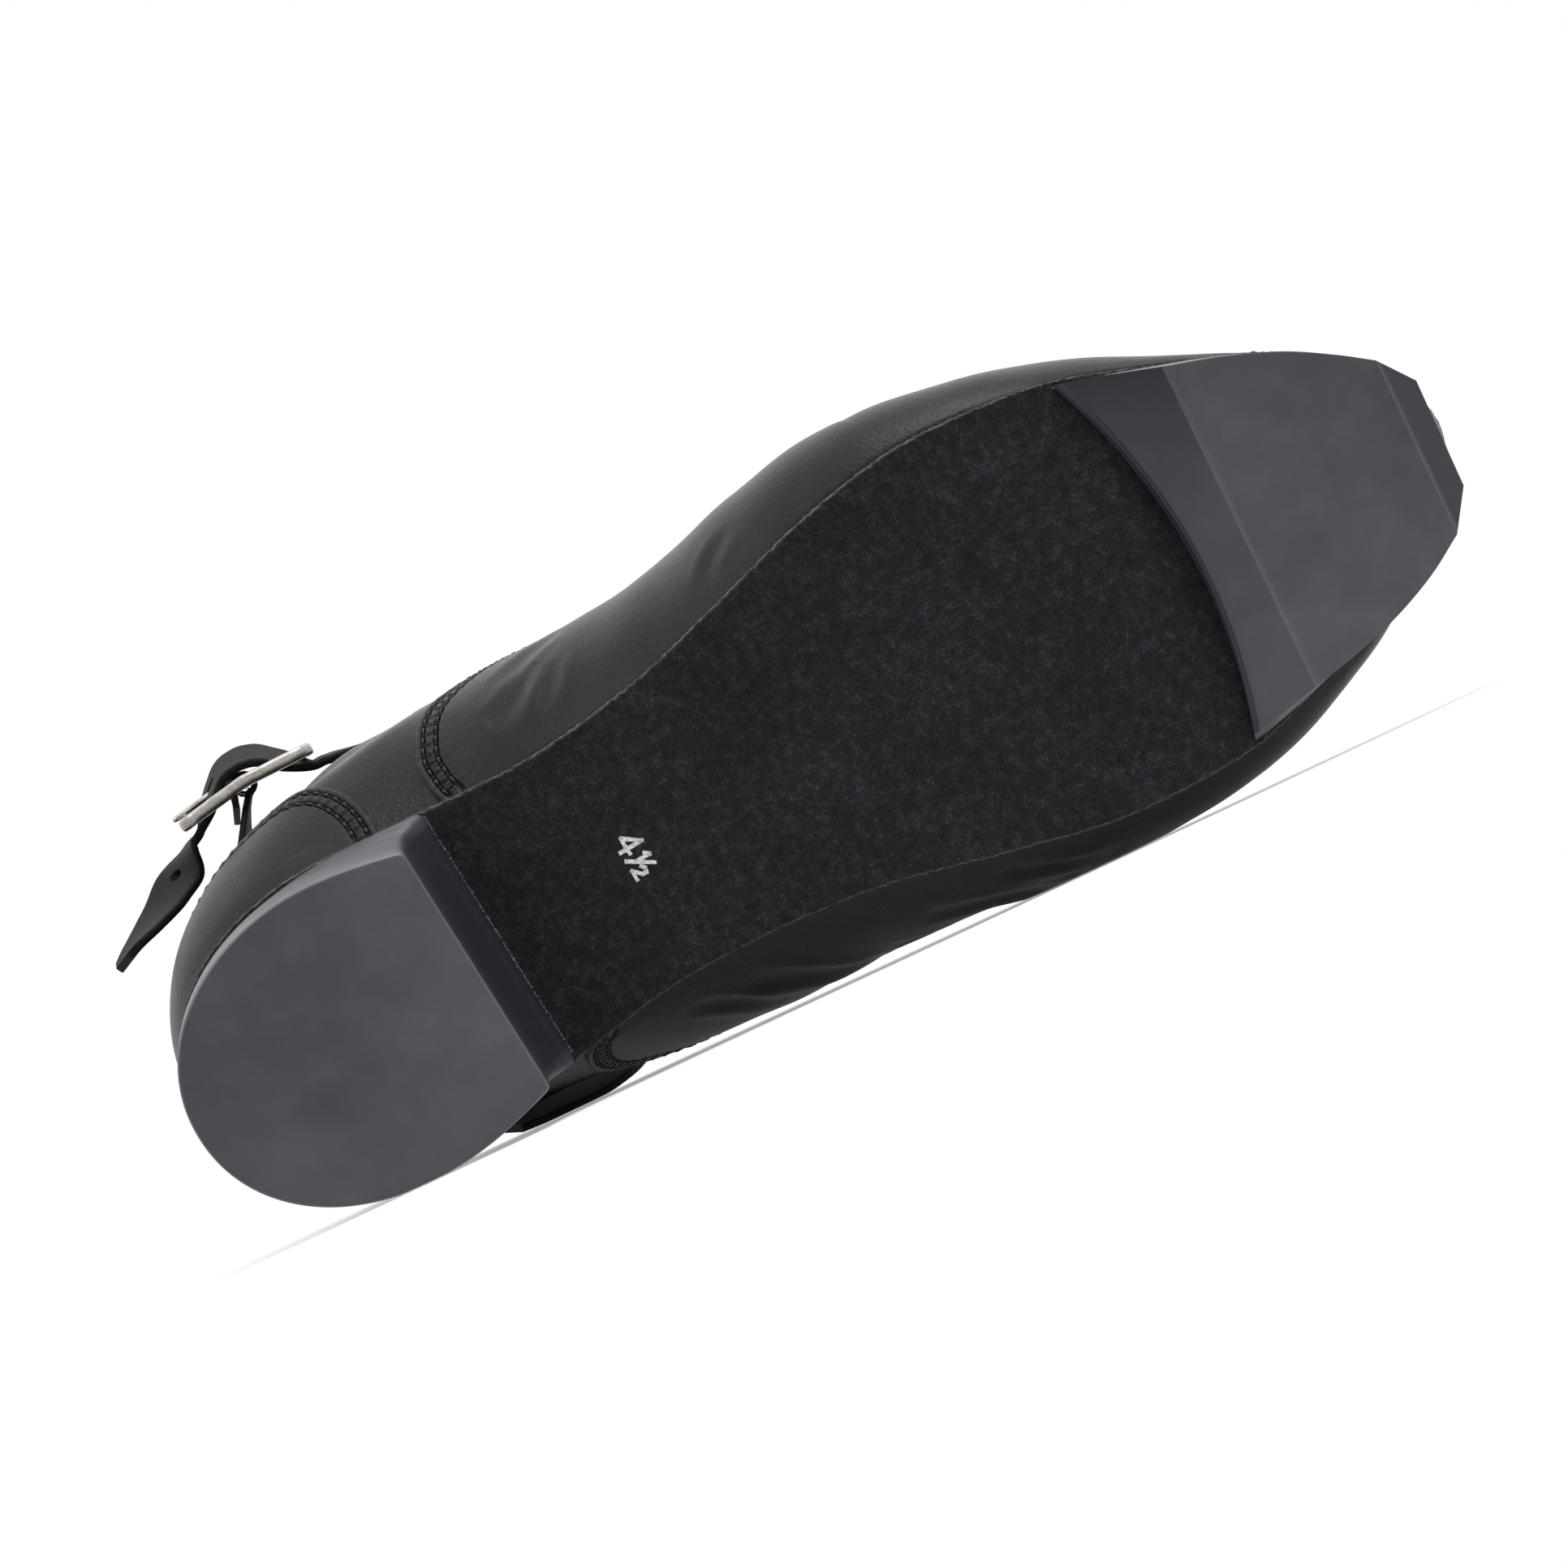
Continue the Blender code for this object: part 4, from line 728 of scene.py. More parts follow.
def overlay(name, kind, mat, thick=1.05):
    """A leather piece on the skin whose free edge follows its seam."""
    table = VAMP if kind == "vamp" else COUNTER
    cols = []
    for side in (-1, 1):
        n = 250 if kind == "vamp" else 110
        sv, _ = seam_curve(table[side], side, n)
        f = np.linspace(0, 1, n)
        if kind == "vamp":
            foot = sv[0, 0] + (THROAT - sv[0, 0]) * f**1.35
        else:
            foot = sv[0, 0] * (1 - f**1.2)
        cols.append((side, foot, sv[:, 0], sv[:, 1]))
    if kind == "vamp":
        fr = np.linspace(THROAT, LAST, 170)[1:]
        parts = []
        side, foot, ts, tv = cols[0]
        parts.append((np.full(len(foot), -1), foot, ts, tv))
        parts.append((np.full(len(fr), -1), fr, fr, np.ones(len(fr))))
        parts.append((np.full(len(fr) - 1, 1), fr[::-1][1:], fr[::-1][1:], np.ones(len(fr) - 1)))
        side, foot, ts, tv = cols[1]
        parts.append((np.full(len(foot), 1), foot[::-1], ts[::-1], tv[::-1]))
    else:
        side, foot, ts, tv = cols[0]
        parts = [(np.full(len(foot), -1), foot, ts, tv)]
        side, foot, ts, tv = cols[1]
        parts.append((np.full(len(foot) - 1, 1), foot[::-1][1:], ts[::-1][1:], tv[::-1][1:]))
    side = np.concatenate([x[0] for x in parts])
    foot = np.concatenate([x[1] for x in parts])
    ts = np.concatenate([x[2] for x in parts])
    tv = np.concatenate([x[3] for x in parts])
    # rows: dense towards the free edge
    b = np.r_[np.linspace(0, 0.9, 52), np.linspace(0.9, 1.0, 22)[1:]]
    S = foot[None] + (ts - foot)[None]*b[:, None]
    V = tv[None]*b[:, None]
    SD = np.broadcast_to(side[None], S.shape)
    base = wall(S, SD, V)
    d, t = seam_measure(base, kind)
    roll = 0.55
    k = np.clip(d/roll, 0, 1)
    lift = thick*(0.25 + 0.75*np.sqrt(np.maximum(0, 1 - (1 - k)**2)))
    # leather is drawn in at each row of stitches and swells between the stitches
    for at in (1.6, 4.1):
        lift = lift - 0.30*np.exp(-((d - at)/0.5)**2)
    lift = lift + 0.22*np.exp(-((d - 2.85)/0.8)**2)*(1 - np.cos(2*math.pi*t/2.7))/2
    closed = (np.broadcast_to(foot[None], S.shape) >= THROAT) if kind == "vamp" else np.zeros(S.shape, bool)
    lift = np.where(closed & (d > 6), thick, lift)
    toe = np.clip((S - 11.0)/1.5, 0, 1)*np.clip((0.7 - V)/0.3, 0, 1)
    lift = lift - 0.70 - 0.95*toe
    q = base + normal(S, SD, V)*(lift + relief(base, 0)*np.clip(V/0.06, 0, 1))[..., None]
    # tuck the free edge and the foot into the shoe
    low = skin(ts, side, tv, -0.95)
    if kind == "vamp":
        ridge = (foot >= THROAT)
        low[ridge] = q[-1][ridge]
    p, n = edge(foot, side)
    p = p - n*0.9*np.clip((foot - 11.0)/1.2, 0, 1)[:, None]
    under_row = np.c_[p - 1.6*n, under((p - 1.6*n)[:, 0]) + SOLE_T + 0.05]
    foot_row = np.c_[p - 0.15*n, under((p - 0.15*n)[:, 0]) + SOLE_T + 0.05]
    rows = np.array([under_row, foot_row, *q[1:], low])
    dd = np.vstack((np.full((2, len(side)), 99.0), d[1:], np.zeros((1, len(side)))))
    tt = np.vstack((t[:1], t[:1], t[1:], t[-1:]))
    if kind == "vamp":
        dd[:, foot >= THROAT + 1.0] = 99.0
    faces = grid_faces(len(rows), len(side))
    ob = add(name, rows.reshape(-1, 3), faces, mat, smooth=70, attrs={"seam_d": dd, "seam_t": tt}, weld=None)
    bm = bmesh.new()
    bm.from_mesh(ob.data)
    bmesh.ops.remove_doubles(bm, verts=bm.verts, dist=1e-5)
    bmesh.ops.dissolve_degenerate(bm, dist=1e-6, edges=bm.edges)
    bmesh.ops.recalc_face_normals(bm, faces=bm.faces)
    top = max(bm.faces, key=lambda f: f.calc_center_median().z)
    if top.normal.z < 0:
        bmesh.ops.reverse_faces(bm, faces=bm.faces)
    bm.to_mesh(ob.data)
    bm.free()
    # stitches along both rows
    for side_ in (-1, 1):
        for row, dist in enumerate((1.6, 4.1)):
            sgn = 1
            sv, ds, dv = inner_row(table[side_], side_, dist)
            # the row has to land inside the piece: higher s for the vamp, lower v or s for the counter
            trial = sv[:, 0] + ds
            inward = (np.mean(dv[120:]) < 0)
            if not inward:
                ds, dv = -ds, -dv
            s2, v2 = np.clip(sv[:, 0] + ds, 0, LAST), np.clip(sv[:, 1] + dv, 0.004, 1)
            keep = (v2 > 0.006) & (v2 < 0.985)
            if kind == "vamp":
                keep &= s2 < 8.9
            s2, v2 = s2[keep], v2[keep]
            sd = np.full(len(s2), side_)
            pts = skin(s2, sd, v2, thick - 0.86)
            stitch_row(pts, normal(s2, sd, v2), phase=0.25*row)
    return done(ob, "black_leather")


overlay("vamp", "vamp", LEATHER)
overlay("heel_counter", "counter", LEATHER, 1.0)

# a row of stitches under the collar and along the facings
for side_ in (-1, 1):
    for dist in (2.2,):
        s_ = np.linspace(0.15, 8.3, 500)
        q = wall(s_, np.full(500, side_), np.ones(500))
        h = np.linalg.norm(q - wall(s_, np.full(500, side_), np.full(500, 0.96)), axis=1)
        v_ = 1 - 0.04*dist/h
        stitch_row(skin(s_, np.full(500, side_), v_, -0.68), normal(s_, np.full(500, side_), v_), pitch=2.6, length=1.8, radius=0.22, lift=0.05)

# eyelets at the bars' ends
LACE_AT = (6.28, 6.84, 7.4, 7.94, 8.46)
rings_v, rings_f, cnt = [], [], 0
for at in LACE_AT:
    for side_ in (-1, 1):
        c = skin(np.array(at), np.array(side_), np.array(0.905), -0.55)
        n = normal(np.array(at), np.array(side_), np.array(0.905))
        u = np.cross(n, (1.0, 0, 0)); u /= np.linalg.norm(u); w = np.cross(n, u)
        a = np.linspace(0, 2*math.pi, 24, endpoint=False)
        b = np.linspace(0, 2*math.pi, 8, endpoint=False)
        ring = c + (u*np.cos(a)[:, None] + w*np.sin(a)[:, None])[:, None]*(2.1 + 0.45*np.cos(b))[None, :, None] + n*(0.3*np.sin(b))[None, :, None]
        rings_v.append(ring.reshape(-1, 3))
        for i in range(24):
            for j in range(8):
                rings_f.append(tuple(cnt + x for x in (i*8 + j, ((i+1) % 24)*8 + j, ((i+1) % 24)*8 + (j+1) % 8, i*8 + (j+1) % 8)))
        cnt += 192
        # the eyelet's hole is a flat dark disc of painted shade
        put(HOLE_SHADE_DISCS, c + n*0.02 + (u*np.cos(a)[:, None] + w*np.sin(a)[:, None])*1.8, [tuple(range(24))])
done(add("eyelets", np.vstack(rings_v), rings_f, STRAPS, weld=None, recalc=True), "black_leather")


# ------------------------------------------------------------------ sole plates
def plate(name, mat, inset, low, high, slot, replaced, ease=0.45, ragged=0.0):
    st = np.linspace(0.02, LAST - 0.02, 340)
    across = np.r_[0, 0.004, 0.012, 0.03, np.linspace(0.06, 0.94, 44), 0.97, 0.988, 0.996, 1]
    pl, nl = edge(st, np.full(len(st), -1))
    pm, nm = edge(st, np.full(len(st), 1))
    wob = ragged*(np.sin(st*61.0) * 0.5 + np.sin(st*137.0 + 1) * 0.3 + RNG.normal(0, 0.35, len(st)))[:, None]
    wob2 = ragged*(np.sin(st*57.0 + 2) * 0.5 + np.sin(st*149.0) * 0.3 + RNG.normal(0, 0.35, len(st)))[:, None]
    toe = 0.95*np.clip((st - 11.0)/1.0, 0, 1)[:, None] if inset == 0.0 else 0.0
    a, b = pl - nl*(inset + wob + toe), pm - nm*(inset + wob2 + toe)
    q = a[:, None] + (b - a)[:, None]*across[None, :, None]
    width = np.linalg.norm(b - a, axis=1)[:, None]
    d = np.minimum(across[None]*width, (1 - across[None])*width)
    ed = ease*(1 - np.sqrt(np.maximum(0, 1 - (1 - np.clip(d/ease, 0, 1))**2)))
    zb = under(q[..., 0]) + low + ed
    zt = under(q[..., 0]) + high - ed*0.3
    bottom = np.concatenate((q, zb[..., None]), 2)
    topp = np.concatenate((q, zt[..., None]), 2)
    rings = np.concatenate((bottom, topp[:, ::-1]), 1)
    dd = np.concatenate((d, np.zeros_like(d)), 1)
    m, n = rings.shape[:2]
    faces = grid_faces(m, n, closed=True) + [tuple(range(n))[::-1], tuple((m-1)*n + j for j in range(n))]
    ob = add(name, rings.reshape(-1, 3), faces, mat, smooth=50, attrs={"seam_d": dd, "seam_t": np.zeros_like(dd)}, weld=None, recalc=True)
    return done(ob, slot, replaced)


plate("suede_sole", SUEDE, 0.0, 0.0, SOLE_T, "black_suede", "outsole", 0.5, 0.14)
plate("sock_board", SOCK, 3.2, SOLE_T + GAP + WALL + GAP, SOLE_T + 2*GAP + WALL + INSOLE_T, "insole_leather", "insole", 0.6)

# size numerals in worn silver foil on the sole's waist: strokes along (across, forward)
FOIL = make_rough("silver_foil", (0.22, 0.22, 0.22), (0.95, 0.95, 0.94), 1300.0, 0.45, 0.3, 0.0001)
STROKES = (
    ((1.9, 0.0), (1.9, 4.4), (0.0, 1.4), (2.8, 1.4)),
    ((3.7, 3.6), (4.3, 4.3), (4.3, 2.0)),
    ((3.5, 0.1), (5.9, 4.3)),
    ((5.3, 1.9), (5.9, 2.4), (6.6, 2.1), (6.5, 1.4), (5.3, 0.1), (6.9, 0.1)),
)
fv, ff, fc = [], [], 0
for stroke in STROKES:
    for (a0, b0), (a1, b1) in zip(stroke[:-1], stroke[1:]):
        p0, p1 = np.array((a0, b0)), np.array((a1, b1))
        t = (p1 - p0)/np.linalg.norm(p1 - p0)
        w = np.array((-t[1], t[0]))*0.36
        k = 8
        pts = []
        for i in range(k + 1):
            c = p0 - t*0.25 + (p1 - p0 + t*0.5)*i/k
            jit = RNG.uniform(0.75, 1.1)
            pts += [c - w*jit, c + w*jit]
        pts = np.array(pts)
        x = 85.6 + pts[:, 1]
        y = -3.6 + pts[:, 0]*1.12
        fv.append(np.c_[x, y, under(x) - 0.05])
        ff += [(fc + 2*i, fc + 2*i + 1, fc + 2*i + 3, fc + 2*i + 2) for i in range(k)]
        fc += len(pts)
done(add("size_numerals", np.vstack(fv), ff, FOIL, weld=None), "black_suede")


# ------------------------------------------------------------------ heel
HEEL = np.array((
    (-3.9, 53.8, 23.2, 26.6, 0.6, 2.08), (-3.3, 54.4, 23.6, 27.0, 0.2, 2.08), (4.0, 54.5, 23.9, 27.1, 0.0, 2.1),
    (12.0, 54.8, 24.4, 27.2, -0.2, 2.1), (18.0, 55.8, 25.0, 27.2, -0.4, 2.1), (22.5, 58.0, 25.5, 27.2, -0.5, 2.1),
    (24.8, 59.6, 25.8, 27.2, -0.5, 2.1), (25.6, 59.8, 25.8, 27.2, -0.5, 2.1)))


def heel_outline(row):
    z, breast, half, wide, back, n = row
    straight = 20.5
    centre = breast - straight
    reach = centre - back
    pts = [(breast, y*half) for y in np.linspace(-1, 1, 60)]
    pts += [(breast - straight*t, -0.4*t + half + (wide - half)*math.sin(t*math.pi/2)) for t in np.linspace(0, 1, 30)[1:-1]]
    for a in np.linspace(math.pi/2, -math.pi/2, 140):
        y = wide*math.copysign(abs(math.sin(a))**(2/n), math.sin(a))
        pts.append((centre - reach*abs(math.cos(a))**(2/n), y - 0.4))
    pts += [(breast - straight*t, -0.4*t - half - (wide - half)*math.sin(t*math.pi/2)) for t in np.linspace(1, 0, 30)[1:-1]]
    pts = np.array(pts)
    k = 420
    a = arc_len(np.vstack((pts, pts[:1])))
    loop = np.vstack((pts, pts[:1]))
    f = np.linspace(0, a[-1], k, endpoint=False)
    q = np.c_[np.interp(f, a, loop[:, 0]), np.interp(f, a, loop[:, 1])]
    for _ in range(7):
        q = 0.5*q + 0.25*(np.roll(q, 1, 0) + np.roll(q, -1, 0))
    return q


def heel():
    zs = np.r_[np.linspace(-3.3, 22, 34), np.linspace(22.3, 25.6, 12)]
    t = np.interp(zs, HEEL[:, 0], np.arange(len(HEEL)))
    rings = []
    first = heel_outline(rows_at(HEEL, np.array([1.0]))[0])
    def inward(q, d):
        tan = np.roll(q, -1, 0) - np.roll(q, 1, 0)
        tan /= np.linalg.norm(tan, axis=1, keepdims=True)
        nn = np.c_[tan[:, 1], -tan[:, 0]]
        c = q.mean(0)
        if ((q - c)*nn).sum() > 0:
            nn = -nn
        return q + nn*d
    r = 0.75
    centre = first.mean(0)
    flat = inward(first, r + 0.4)
    for f in (0.0, 0.3, 0.6, 0.85, 1.0):
        ring = centre + (flat - centre)*f if f else np.tile(centre, (len(first), 1)) + (flat - centre)*0.02
        rings.append(np.c_[ring, np.full(len(ring), -3.9)])
    for a in np.linspace(0, math.pi/2, 8):
        q = inward(first, r*(1 - math.sin(a)))
        rings.append(np.c_[q, np.full(len(q), -3.9 + r*(1 - math.cos(a)))])
    for z, tt in zip(zs[1:], t[1:]):
        q = heel_outline(rows_at(HEEL, np.array([tt]))[0])
        rings.append(np.c_[q, np.full(len(q), z)])
    last = rings[-1][:, :2]
    rings.append(np.c_[inward(last, 0.35), np.full(len(last), 25.75)])
    rings = np.array(rings)
    wear_and_painted_highlight = np.zeros(rings.shape[:2])
    # a pale band on the rounded edge of the striking face: wear and a painted highlight
    wear_and_painted_highlight[8:11] = 0.35
    # painted shade: tone darkens the heel's breast, its front millimetre above the striking face and short of its
    # corners
    front_x = rings[..., 0].max(1, keepdims=True)
    tone = np.clip((rings[..., 0] - front_x + 1.0)/0.5, 0, 1)*np.clip((rings[..., 2] + 1.6)/1.2, 0, 1)*np.clip((24.0 - np.abs(rings[..., 1]))/1.5, 0, 1)
    ob = loft("heel_block", rings, FIBRE, smooth=50, attrs={"wear_and_painted_highlight": wear_and_painted_highlight, "tone": tone, "machined": np.zeros_like(wear_and_painted_highlight)}, weld=None)
    return done(ob, "black_fibreglass", "heel"), last


HEEL_OB, HEEL_TOP = heel()


# ------------------------------------------------------------------ toe tip
TIP = np.array((
    (190.2, -31.9, 188.6, 37.2, 1.6, 1.4, 0.5, 6.5), (195.0, -30.3, 192.5, 36.9, 1.25, 1.1, 0.9, 4.2),
    (201.0, -27.8, 197.0, 36.4, 0.65, 0.55, 1.6, 1.9), (207.4, -25.1, 201.8, 35.8, 0.0, 0.0, 2.2, 0.0),
    (217.0, -21.3, 210.5, 34.8, 0.0, 0.0, 2.6, 0.0), (226.5, -16.5, 220.0, 33.0, 0.0, 0.0, 2.8, 0.0),
    (234.0, -11.3, 229.0, 30.1, 0.0, 0.0, 2.8, 0.0), (239.8, -6.6, 236.6, 26.4, 0.0, 0.0, 2.7, 0.0),
    (246.0, 0.8, 243.8, 20.8, 7.4, 7.4, 2.2, 0.0)))
RIM_INSET = 1.1
_RS = np.linspace(LAST - 5.5, LAST - 1e-6, 1400)
_RIM = {sd: (lambda pn: pn)(edge(_RS, np.full(1400, sd))) for sd in (-1, 1)}


def rim(low, side, flare):
    p, n = _RIM[side]
    q = p - n*RIM_INSET
    d = np.linalg.norm(q - np.array(low)[None] - n*flare, axis=1)
    k = d.argmin()
    return _RS[k], q[k]


def toe_tip():
    ramp_t = np.r_[np.linspace(0, 2.93, 22), 2.975, 3.0]
    flat_t = np.linspace(3, 7, 34)[1:]
    t_all = np.r_[ramp_t, flat_t]
    rows = [*(rows_at(TIP[:4], ramp_t)), *(rows_at(TIP[3:8], flat_t - 3))]
    front = [TIP[7] + (TIP[8] - TIP[7])*f for f in np.linspace(0, 1, 7)[1:]]
    rows += front
    kinds = ["ramp"]*len(ramp_t) + ["flat"]*len(flat_t) + ["front"]*len(front)
    across = np.r_[0, 0.006, 0.015, 0.03, np.linspace(0.06, 0.94, 42), 0.97, 0.985, 0.994, 1]
    nA = len(across)
    side_steps = 9
    rings, wear_and_painted_highlight, tone, mach = [], [], [], []
    s_end = None
    for i, (row, kind) in enumerate(zip(rows, kinds)):
        xl, yl, xm, ym, zl, zm, flare, bow = row
        if kind == "ramp":
            # the ramp is slightly hollow, with a raised lip at its rear
            f = ramp_t[i]/3
        sl, pl = rim((xl, yl), -1, flare)
        sm, pm = rim((xm, ym), 1, flare)
        curve = bow*(1 - (2*across - 1)**2)
        low = np.c_[xl + (xm - xl)*across + curve, yl + (ym - yl)*across, zl + (zm - zl)*across]
        if kind == "ramp":
            low[:, 2] += 0.35*math.sin(f*math.pi) - 0.0
            dist = f*15.0
            wide = 1.1 + 1.4*across
            low[:, 2] -= 0.45*np.clip(1 - (dist/wide)**4, 0, 1)
        if kind == "front":
            g = (i - (len(rows) - len(front)) + 1)/len(front)
            way = (LAST - sl) + (LAST - sm)
            dpos = way*across
            at = np.where(dpos <= LAST - sl, sl + dpos, sm + way - dpos)
            sd = np.where(dpos <= LAST - sl, -1, 1)
            pp, nn = edge(np.minimum(at, LAST - 1e-6), sd)
            arc_q = pp - nn*RIM_INSET
            line_q = pl + (pm - pl)*across[:, None]
            q = line_q + (arc_q - line_q)*g
        else:
            q = pl + (pm - pl)*across[:, None] + np.c_[curve, np.zeros(nA)]
        high = np.c_[q, under(q[:, 0]) - GAP]
        # walls between the face's edge and the sole
        def side_wall(a, b, bulge):
            out = []
            for k in range(1, side_steps):
                f2 = k/side_steps
                c = a + (b - a)*f2
                out.append(c)
            return out
        left = side_wall(high[0], low[0], 0)
        right = side_wall(low[-1], high[-1], 0)
        ring = np.vstack((left, low, right, high[::-1]))
        rings.append(ring)
        w = np.zeros(len(ring))
        painted_shade_row = np.zeros(len(ring))
        mc = np.zeros(len(ring))
        body = slice(len(left), len(left) + nA)
        # painted shade: the ramp is darkened towards its lateral end and at its rear lip, less at its front edge, and
        # the front bevel is darkened
        if kind == "ramp":
            painted_shade_row[body] = 0.22 + 0.75*np.clip(1 - across*2.2, 0, 1)
            if f < 0.10:
                painted_shade_row[body] = 0.9
            # a pale line at the ramp's front edge and a faint one just in front of its rear lip: wear and a painted
            # highlight
            if f > 0.999:
                w[body] = 0.30
                painted_shade_row[body] *= 0.5
            if 0.10 < f < 0.18:
                w[body] = 0.05
        if kind == "front":
            painted_shade_row[body] = 0.85
        # a pale line along the face's lateral edge: wear and a painted highlight
        w[len(left) - 1] = 0.3
        w[len(left)] = 0.4
        wear_and_painted_highlight.append(w); tone.append(painted_shade_row); mach.append(mc)
    rings = np.array(rings)
    m, n = rings.shape[:2]
    nl = side_steps - 1
    faces = grid_faces(m, n, closed=True)
    # end faces between the lower and the upper line
    for at, flip in ((0, True), (m - 1, False)):
        base = at*n
        low0 = nl
        hi0 = nl + nA + nl
        for j in range(nA - 1):
            f = (base + low0 + j, base + low0 + j + 1, base + hi0 + nA - 2 - j, base + hi0 + nA - 1 - j)
            faces.append(f[::-1] if flip else f)
        faces.append(tuple(base + x for x in [hi0 + nA - 1, *range(0, nl), low0]))
        faces.append(tuple(base + x for x in [low0 + nA - 1, *range(low0 + nA, low0 + nA + nl), hi0]))
    # parallel machining lines near the medial rear corner, as a height on the mesh
    mach = np.array(mach)
    X, Y = rings[..., 0], rings[..., 1]
    lines = 0.5 + 0.5*np.sin((X*0.8 + Y*0.6)*2*math.pi/0.9)
    mask = np.exp(-(((X - 197)/7)**2 + ((Y - 28)/11)**2))
    mach = lines*mask
    ob = add("toe_tip_moulding", rings.reshape(-1, 3), faces, FIBRE, smooth=14,
             attrs={"wear_and_painted_highlight": np.array(wear_and_painted_highlight), "tone": np.array(tone), "machined": mach}, weld=1e-7, recalc=True)
    bev = ob.modifiers.new("eased_edges", "BEVEL")
    bev.width = 0.00014
    bev.segments = 2
    bev.limit_method = "ANGLE"
    bev.angle_limit = math.radians(16)
    bev.harden_normals = False
    return done(ob, "black_fibreglass", "toe_tip")


toe_tip()

# pale broken glue line and a rough band where the tip and the heel meet the sole
sl = np.linspace(10.95, LAST - 1e-4, 500)
line = []
for sd in (-1, 1):
    p, n = edge(sl, np.full(500, sd))
    q = p - n*(RIM_INSET + 0.15)
    line.append(np.c_[q, under(q[:, 0]) - 0.12])
line = np.vstack((line[0], line[1][::-1]))
r = 0.24 + 0.03*np.sin(np.arange(len(line))*0.9) + RNG.normal(0, 0.02, len(line))
done(tube("tip_edge_band", line, np.clip(r, 0.15, 0.5), WELT, sides=8, weld=None), "black_suede")
line2 = line + np.array((0, 0, -0.28))
r2 = np.clip(RNG.normal(0.07, 0.07, len(line2)), 0.012, 0.2)
done(tube("tip_glue_line", line2, r2, GLUE, sides=6, weld=None), "black_suede")

front = HEEL_TOP[HEEL_TOP[:, 0] > 59.0]
front = front[np.argsort(front[:, 1])]
yy = np.linspace(-25.0, 25.0, 260)
xx = np.full(260, 59.98)
line3 = np.c_[xx + RNG.normal(0, 0.05, 260), yy, np.full(260, 25.82)]
r3 = np.clip(RNG.normal(0.11, 0.08, 260), 0.015, 0.26)
done(tube("heel_glue_line", line3, r3, GLUE, sides=6, weld=None), "black_suede")

# short fibres of cut suede along the sole's edge, the heel and the tip
fib_v, fib_f, fc = [], [], 0


def fibre(c, d, length, rad=0.03):
    global fc
    d = d/np.linalg.norm(d)
    u = np.cross(d, (0.3, 0.5, 0.8)); u /= np.linalg.norm(u); w = np.cross(d, u)
    a = np.array((0, 2.1, 4.2))
    ring = c + rad*(u*np.cos(a)[:, None] + w*np.sin(a)[:, None])
    mid = c + d*length*0.55 + u*length*0.15 + rad*0.7*(u*np.cos(a)[:, None] + w*np.sin(a)[:, None])
    tip = c + d*length
    fib_v.append(np.vstack((ring, mid, tip[None])))
    for j in range(3):
        k = (j + 1) % 3
        fib_f.append((fc + j, fc + k, fc + 3 + k, fc + 3 + j))
        fib_f.append((fc + 3 + j, fc + 3 + k, fc + 6))
    fc += 7


for sd in (-1, 1):
    ss = RNG.uniform(4.0, 11.2, 700)
    p, n = edge(ss, np.full(700, sd))
    for k in range(700):
        z = under(p[k, 0]) + RNG.uniform(0.1, 1.2)
        d = np.array((*(n[k]*RNG.uniform(0.3, 1.0)), RNG.uniform(-0.7, 0.3))) + RNG.normal(0, 0.35, 3)
        fibre(np.array((*(p[k] - n[k]*0.15), z)), d, RNG.uniform(0.25, 0.7), 0.028)
for k in range(420):
    y = RNG.uniform(-25, 25)
    fibre(np.array((60.0, y, 25.85)), np.array((RNG.uniform(0.0, 0.6), 0, -1.0)) + RNG.normal(0, 0.5, 3), RNG.uniform(0.3, 0.8), 0.035)
FUZZ = make_rough("cut_fibres", (0.03, 0.03, 0.03), (0.16, 0.16, 0.155), 600.0, 0.9, 0.2, 0.0001)
done(add("cut_fibres", np.vstack(fib_v), fib_f, FUZZ, smooth=None, weld=None), "black_suede")


# ------------------------------------------------------------------ tongue
TONGUE_TOP = ((-5.8, 3.2, 0.60), (-10.0, 8.6, 0.58), (-13.0, 14.6, 0.58), (-15.0, 20.0, 0.54), (-15.8, 22.4, 0.4))
TONGUE_AT = (6.15, 6.5, 6.9, 7.3, 7.7, 8.1, 8.5, 8.8, 9.1, 9.5)
TONGUE_V = (0.84, 0.885, 0.93, 0.97)
TONGUE_T = 1.5


